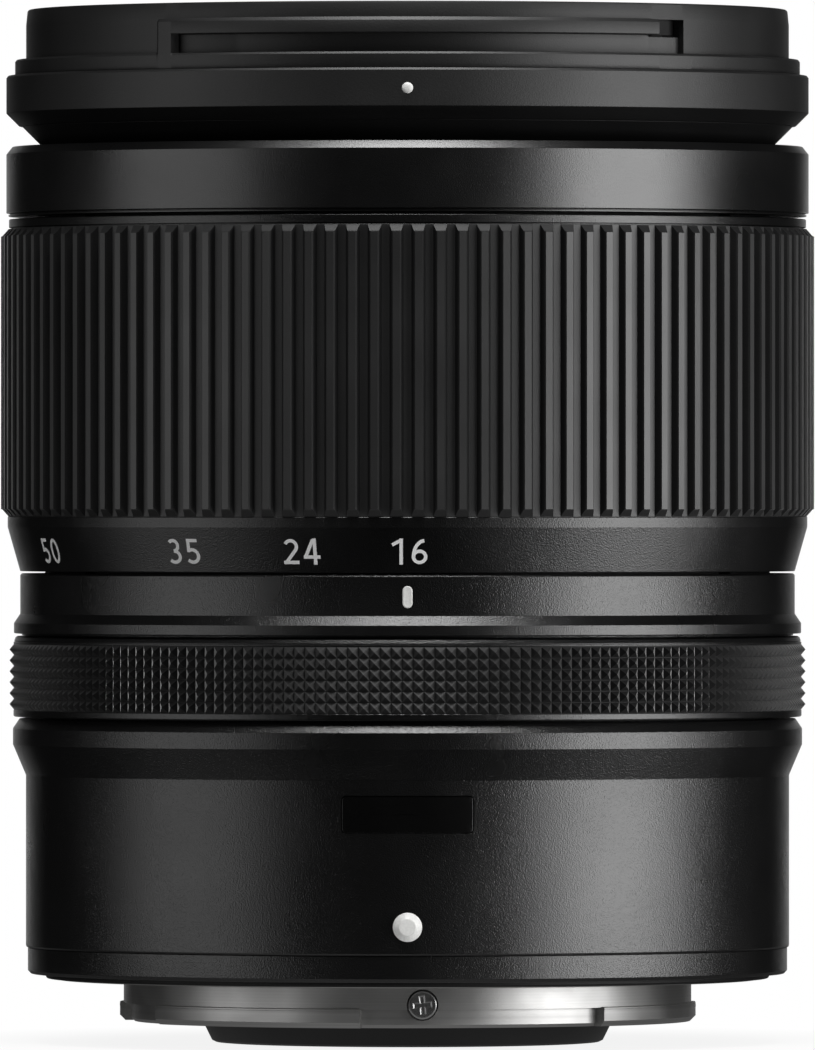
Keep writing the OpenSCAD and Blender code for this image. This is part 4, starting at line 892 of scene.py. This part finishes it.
def front_ring():
    """Smooth fixed ring with a bevelled front edge."""
    lip_r, open_r = barrel_r + 0.3, trim_r - 2.3
    tube_top = trim_low + 2.7
    lip_top = tube_top + 0.6
    return turned("front_ring", [
        (seat_r, trim_low - 0.2, 0.05), (trim_r - 0.2, trim_low - 0.2, 0.06),
        (trim_r - 0.2, trim_low - 0.05, 0.03), (trim_r - 0.4, trim_low - 0.03, 0.02),
        (trim_r - 0.4, trim_low + 0.03, 0.02), (trim_r, trim_low + 0.1, 0.08),
        (trim_r, trim_top - 0.7, 0.08), (trim_r - 0.55, trim_top, 0.1), (open_r, trim_top, 0.1),
        (open_r, lip_top, 0.1), (lip_r, lip_top, 0.05), (lip_r, tube_top, 0.05), (seat_r, tube_top, 0.05)])


def sliding_barrel():
    """Extending barrel with a conical shoulder."""
    return turned("sliding_barrel", [
        (barrel_bore_r, tail_low, 0.1), (barrel_r, tail_low, 0.15),
        (barrel_r, collar_low - cone_r + barrel_r, 0.6), (cone_r, collar_low, 0.05),
        (barrel_bore_r, collar_low, 0.05)])


def front_collar():
    """Collar between the shoulder and the filter ring."""
    foot, wall = cone_r + 0.25, 1.5
    return turned("front_collar_piece", [
        (barrel_bore_r, collar_low, 0.05), (foot, collar_low, 0.08),
        (collar_r, collar_low + collar_r - foot, 0.18), (collar_r, collar_top - 0.2, 0.04),
        (collar_r - 0.16, collar_top, 0.04), (collar_r - wall, collar_top, 0.05),
        (collar_r - wall, collar_low + wall, 0.05), (barrel_bore_r + wall, collar_low + wall, 0.05),
        (barrel_bore_r + wall, collar_top, 0.05), (barrel_bore_r, collar_top, 0.05)])


def hood_dot():
    """White dot on the collar."""
    across = 1.1
    layers = [(0.0, -0.3), (0.0, -0.1), (0.05, 0.0), (0.13, 0.08), (0.24, 0.14), (0.37, 0.17), (0.5, 0.18)]
    return plaque("hood_dot", across, across, across / 2, layers, collar_r, collar_low + 2.76)


# Hood rail: its edges in millimetres, its angles from its middle in degrees, and the heights above the
# step where the filter ring's plain side has points
rail_edge, rail_bevel, hood_lip_r = 0.06, 0.2, hood_r - 0.14
RAIL_FIRST, SLOT_FIRST, RAIL_LAST, NOTCH_LAST = -39.2, -36.4, 39.3, 45.4
RAIL_RAMP, RAIL_NEAR = 0.12, 0.3
SIDE_HEIGHTS = (rail_edge, 0.3, 1.5, 1.72, 1.9, 2.2, 2.7, 2.95, 3.07)


def filter_section(middle):
    """Outline of the filter ring with these points between its foot and its head."""
    foot = [(barrel_bore_r, collar_top), (hood_r - 0.1, collar_top), (hood_r - 0.03, collar_top + 0.03),
            (hood_r, collar_top + 0.1), (hood_r, hood_step_z - 0.18)]
    head = [(filter_r, filter_top - 1.4), (filter_r - 0.12, filter_top - 0.2),
            (filter_r - 0.16, filter_top - 0.08), (filter_r - 0.26, filter_top),
            (thread_root_r + 0.3, filter_top), (thread_root_r, filter_top - 0.3), (thread_root_r, thread_low),
            (thread_crest_r - 0.2, thread_low), (thread_crest_r - 0.2, shelf_z), (barrel_bore_r, shelf_z)]
    return foot + middle + head


def rail_crown(r):
    """Eased upper edge of a rail of this radius, and the ring behind it."""
    low = rail_top - rail_bevel
    return [(r, low - 0.08), (r - 0.02, low - 0.04), (r - rail_bevel, rail_top),
            (filter_r + rail_edge, rail_top), (filter_r, rail_top + rail_edge)]


def plain_section():
    """Outline away from the rails."""
    low = [(hood_lip_r, hood_step_z), (filter_r + rail_edge, hood_step_z)]
    side = [(filter_r, hood_step_z + h) for h in SIDE_HEIGHTS]
    return filter_section(low + side + [(filter_r, rail_top)])


def slotted_section(off):
    """Outline where the slot runs under the rail, its floor rising to the closed end."""
    rise_h, rise_sweep = 0.5, 10
    floor = slot_floor_r + max(0.0, 1 - (off - SLOT_FIRST) / rise_sweep) * rise_h
    slot = [(hood_lip_r, hood_step_z), (floor + rail_edge, hood_step_z), (floor, hood_step_z + rail_edge),
            (floor, rail_z - rail_edge), (floor + rail_edge, rail_z)]
    rail = [(hood_r - rail_edge, rail_z), (hood_r, rail_z + rail_edge)]
    return filter_section(slot + rail + rail_crown(hood_r))


def closed_section(drop):
    """Outline at the closed end of the slot, this far inside the rail's radius."""
    r = hood_r - drop
    heights = (hood_step_z, hood_step_z + rail_edge, rail_z - rail_edge, rail_z, rail_z + 0.03,
               rail_z + rail_edge)
    side = [(max(r, hood_lip_r), hood_step_z - 0.02)] + [(r, z) for z in heights]
    return filter_section(side + rail_crown(r))


def notched_section(off):
    """Outline at the open end of the slot, where a flat lets a hood in."""
    flat_middle, flat_half = 60, 21
    entry = filter_r * math.cos(math.radians(flat_half)) / math.cos(math.radians(off - flat_middle))
    low = [(hood_lip_r, hood_step_z), (slot_floor_r + rail_edge, hood_step_z)]
    side = [(slot_floor_r, hood_step_z + h) for h in SIDE_HEIGHTS[:3]]
    side += [(min(entry, filter_r), hood_step_z + h) for h in SIDE_HEIGHTS[3:]]
    return filter_section(low + side + [(filter_r, rail_top)])


def rail_stations():
    """Outlines over half of the filter ring, each with its angle from the middle of a rail."""
    plain = plain_section()
    stations = [(RAIL_FIRST - RAIL_RAMP, plain), (SLOT_FIRST, closed_section(0)),
                (SLOT_FIRST + RAIL_RAMP, slotted_section(SLOT_FIRST + RAIL_RAMP)),
                (RAIL_LAST - RAIL_RAMP, slotted_section(RAIL_LAST)), (NOTCH_LAST + RAIL_RAMP, plain)]
    stations += [(RAIL_FIRST + along, closed_section(drop))
                 for along, drop in ((0, 0.34), (0.07, 0.2), (0.2, 0.09), (0.4, 0.025), (0.62, 0))]
    stations += [(off, notched_section(off)) for off in (RAIL_LAST, 42.0, 44.0, NOTCH_LAST)]
    for k in range(-179, 181):
        off = k / 2
        if off < RAIL_FIRST - RAIL_NEAR or off > NOTCH_LAST + RAIL_NEAR:
            stations.append((off, plain))
        elif SLOT_FIRST + RAIL_NEAR < off < RAIL_LAST - RAIL_NEAR:
            stations.append((off, slotted_section(off)))
    return stations


def filter_ring():
    """Filter ring with two hood rails, each over a slot with an open and a closed end."""
    stations = []
    for centre in (FRONT + 360, FRONT + 180):
        stations += [(centre + off, points) for off, points in rail_stations()]
    return turned_in_stations("filter_ring_piece", stations, sharp=30)


def filter_thread(tree):
    """Thread ridge inside the filter ring."""
    pitch, turns, ridge = 0.75, 3.5, 0.36
    start = new_piece("filter_thread_ridge", [(0, 0, 0), (0, 0, 1), (0, 1, 0)], [(0, 1, 2)], smooth=False)
    return grown(start, tree, {
        "Radius": (thread_root_r - 0.02) * MM, "Height": pitch * turns * MM, "Turns": turns,
        "Ridge": ridge * MM, "Low": (thread_low + 0.3) * MM, "Finish": matt_plastic})


def name_ring():
    """Plain ring over the edge of the front glass, with fine steps."""
    inner = barrel_bore_r - 3.4 - 0.7
    step_r, step_z = barrel_bore_r - 0.2, shelf_z + 0.3
    low, steps = name_low, 6
    outline = [(inner, low, 0.05), (step_r, low, 0.05), (step_r, shelf_z, 0.05), (name_r, shelf_z, 0.05),
               (name_r, name_top, 0.1), (name_r - 0.7, name_top, 0.15), (step_r, step_z, 0.1)]
    run, fall = step_r - inner, step_z - (low + 0.38)
    for k in range(steps):
        r = step_r - run * (k + 0.5) / steps
        z = step_z - fall * k / steps
        outline += [(r, z - 0.02, 0.03), (r, z - fall / steps, 0.03)]
    outline.append((inner, low + 0.36, 0.05))
    return turned("name_ring_piece", outline)


copies_tree = ring_tree()
ridge_tree = spiral_tree()
placed(rear_ring(), "barrel", "satin_plastic", black_plastic, "rear_ring")
placed(seal_lip(), "barrel", "rubber", seal_rubber, "mount_seal")
placed(rear_casing(), "barrel", "black_plastic", black_plastic, "rear_barrel")
placed(badge(), "barrel", "satin_plastic", badge_plastic, "badge_plate")
placed(mount_bead(), "barrel", "white_mark", white_mark, "mount_index_bead")
placed(stop_screw(), "barrel", "steel", bright_steel, "bayonet_stop_screw")
placed(lug_edges(), "barrel", "mount_metal", mount_metal)
placed(baffle_cone(), "barrel", "satin_plastic", matt_plastic)
placed(control_ring(copies_tree), "control", "black_plastic", None, "control_ring")
placed(index_ring(), "barrel", "black_plastic", black_plastic, "index_ring")
placed(index_mark(), "barrel", "white_mark", white_mark, "zoom_index_mark")
placed(zoom_ring(), "zoom", "black_plastic", scale_plastic, "zoom_ring")
placed(numerals(), "zoom", "white_mark", scale_ink)
placed(zoom_grip(copies_tree), "zoom", "rubber", None, "zoom_grip")
placed(front_ring(), "barrel", "satin_plastic", trim_plastic, "front_trim_ring")
placed(sliding_barrel(), "front_group", "satin_plastic", matt_black_and_painted_shade, "front_barrel")
# The collar's downward faces get the darker, duller finish: painted shade on its underside
collar = refinished(dressed(front_collar(), matt_plastic), matt_black_and_painted_shade, looks_down)
placed(collar, "front_group", "satin_plastic", None, "front_collar")
placed(hood_dot(), "front_group", "white_mark", white_mark, "hood_index_dot")
placed(filter_ring(), "front_group", "satin_plastic", matt_plastic, "filter_ring")
placed(filter_thread(ridge_tree), "front_group", "satin_plastic", matt_plastic)
placed(name_ring(), "front_group", "satin_plastic", matt_plastic, "name_ring")


# Studio: a pale table that ends just in front of the lens, three soft lamps and a white backdrop

LAMP_AIM_Z = 0.045


def lamp(name, azimuth, elevation, distance, width, height, radiance):
    """A soft lamp that faces the lens from an azimuth right of the camera, its sizes in metres."""
    a, e = math.radians(azimuth), math.radians(elevation)
    ray = Vector((math.sin(a) * math.cos(e), -math.cos(a) * math.cos(e), math.sin(e)))
    light = bpy.data.lights.new(name, "AREA")
    light.shape = "RECTANGLE"
    light.size, light.size_y = width, height
    light.energy = radiance * math.pi * width * height
    holder = bpy.data.objects.new(name, light)
    holder.location = Vector((0, 0, LAMP_AIM_Z)) + ray * distance
    holder.rotation_euler = ray.to_track_quat("Z", "Y").to_euler()
    holder.visible_camera = False
    bpy.context.scene.collection.objects.link(holder)


def seen_flags(tree):
    """One for a camera ray, and one for a glossy or transmission ray."""
    path = node(tree, "ShaderNodeLightPath").outputs
    bright = maths(tree, "MAXIMUM", path["Is Glossy Ray"], path["Is Transmission Ray"])
    return path["Is Camera Ray"], bright


def backdrop():
    """World that is white behind the lens, dark in front of it and softly lit for diffuse light."""
    world = bpy.data.worlds.new("backdrop")
    world.use_nodes = True
    tree = world.node_tree
    tree.nodes.clear()
    camera_ray, glossy_ray = seen_flags(tree)
    toward = node(tree, "ShaderNodeTexCoord").outputs["Generated"]
    depth = node(tree, "ShaderNodeSeparateXYZ", [(0, toward)]).outputs[1]
    plain, dark, edge = 0.03, 0.01, 0.93
    behind = mapped(tree, depth, edge, 1.0, dark, 1.0)
    other = maths(tree, "MULTIPLY_ADD", glossy_ray, maths(tree, "SUBTRACT", behind, plain), plain)
    strength = maths(tree, "MAXIMUM", camera_ray, other)
    sky = node(tree, "ShaderNodeBackground", [("Color", (1, 1, 1, 1)), ("Strength", strength)])
    node(tree, "ShaderNodeOutputWorld", [("Surface", sky.outputs[0])])
    bpy.context.scene.world = world


def table_finish():
    """Pale finish, white to the camera, dim where the lens mirrors it, with painted shadow near the lens and
    painted shade towards the sides, and clear from below.
    """
    material, tree, shader, place = new_finish("pale_table", Roughness=0.8)
    cloud = grain(tree, place, 60.0)
    tree.links.new(tinted(tree, cloud, (0.80, 0.80, 0.80), (0.83, 0.83, 0.83)), shader.inputs["Base Color"])
    camera_ray, glossy_ray = seen_flags(tree)
    reach = node(tree, "ShaderNodeVectorMath", [(0, place)], operation="LENGTH").outputs["Value"]
    side = maths(tree, "ABSOLUTE", node(tree, "ShaderNodeSeparateXYZ", [(0, place)]).outputs[0])
    seen = mapped(tree, reach, 28 * MM, 54 * MM, 0.88, 1.0)
    # Painted shadow: the glow that the lens mirrors is dimmer near the lens
    near = mapped(tree, reach, 40 * MM, 62 * MM, 0.22, 1.0)
    # Painted shade: the mirrored glow is dimmer towards the sides
    painted_side_shade = mapped(tree, side, 10 * MM, 42 * MM, 1.0, 0.12)
    strength = maths(tree, "MAXIMUM", camera_ray, maths(tree, "MULTIPLY", near, painted_side_shade))
    glow = node(tree, "ShaderNodeEmission", [("Color", (1, 1, 1, 1)), ("Strength", strength)]).outputs[0]
    share = maths(tree, "MAXIMUM", maths(tree, "MULTIPLY", camera_ray, seen), glossy_ray)
    mixed = node(tree, "ShaderNodeMixShader", [(0, share), (1, shader.outputs[0]), (2, glow)]).outputs[0]
    under = node(tree, "ShaderNodeNewGeometry").outputs["Backfacing"]
    clear = node(tree, "ShaderNodeBsdfTransparent").outputs[0]
    sided = node(tree, "ShaderNodeMixShader", [(0, under), (1, mixed), (2, clear)]).outputs[0]
    output = next(made for made in tree.nodes if made.type == "OUTPUT_MATERIAL")
    tree.links.new(sided, output.inputs["Surface"])
    return material


def table():
    """Pale table just under the lens."""
    half, near, far = 56, -46, 160
    low = cad_box[0].z / MM - 0.02
    top = new_piece("table", [(-half, near, low), (half, near, low), (half, far, low), (-half, far, low)],
                    [(0, 1, 2, 3)], smooth=False)
    top.data.materials.append(table_finish())


def camera():
    """Camera level with the grip, far off with a long lens, as in the photograph."""
    distance, eye, image_h, sensor_h = 1.702, 0.04467, 1050, 36
    focal_px, horizon_px = 18574, 491.4
    lens = bpy.data.cameras.new("camera")
    lens.sensor_fit = "VERTICAL"
    lens.sensor_height = sensor_h
    lens.lens = sensor_h * focal_px / image_h
    lens.shift_y = (horizon_px - image_h / 2) / image_h
    lens.clip_end = 20
    holder = bpy.data.objects.new("camera", lens)
    holder.location = (0, -distance, eye)
    holder.rotation_euler = (math.pi / 2, 0, 0)
    bpy.context.scene.collection.objects.link(holder)
    bpy.context.scene.camera = holder


bpy.context.scene.view_settings.view_transform = "Standard"
backdrop()
table()
lamp("right_softbox", azimuth=64.5, elevation=-4, distance=0.8, width=0.64, height=0.62, radiance=4.75)
lamp("left_softbox", azimuth=-67.5, elevation=-4, distance=0.8, width=0.65, height=0.62, radiance=1.0)
lamp("top_softbox", azimuth=0, elevation=70, distance=0.8, width=0.36, height=0.52, radiance=10.5)
camera()

bpy.context.view_layer.update()
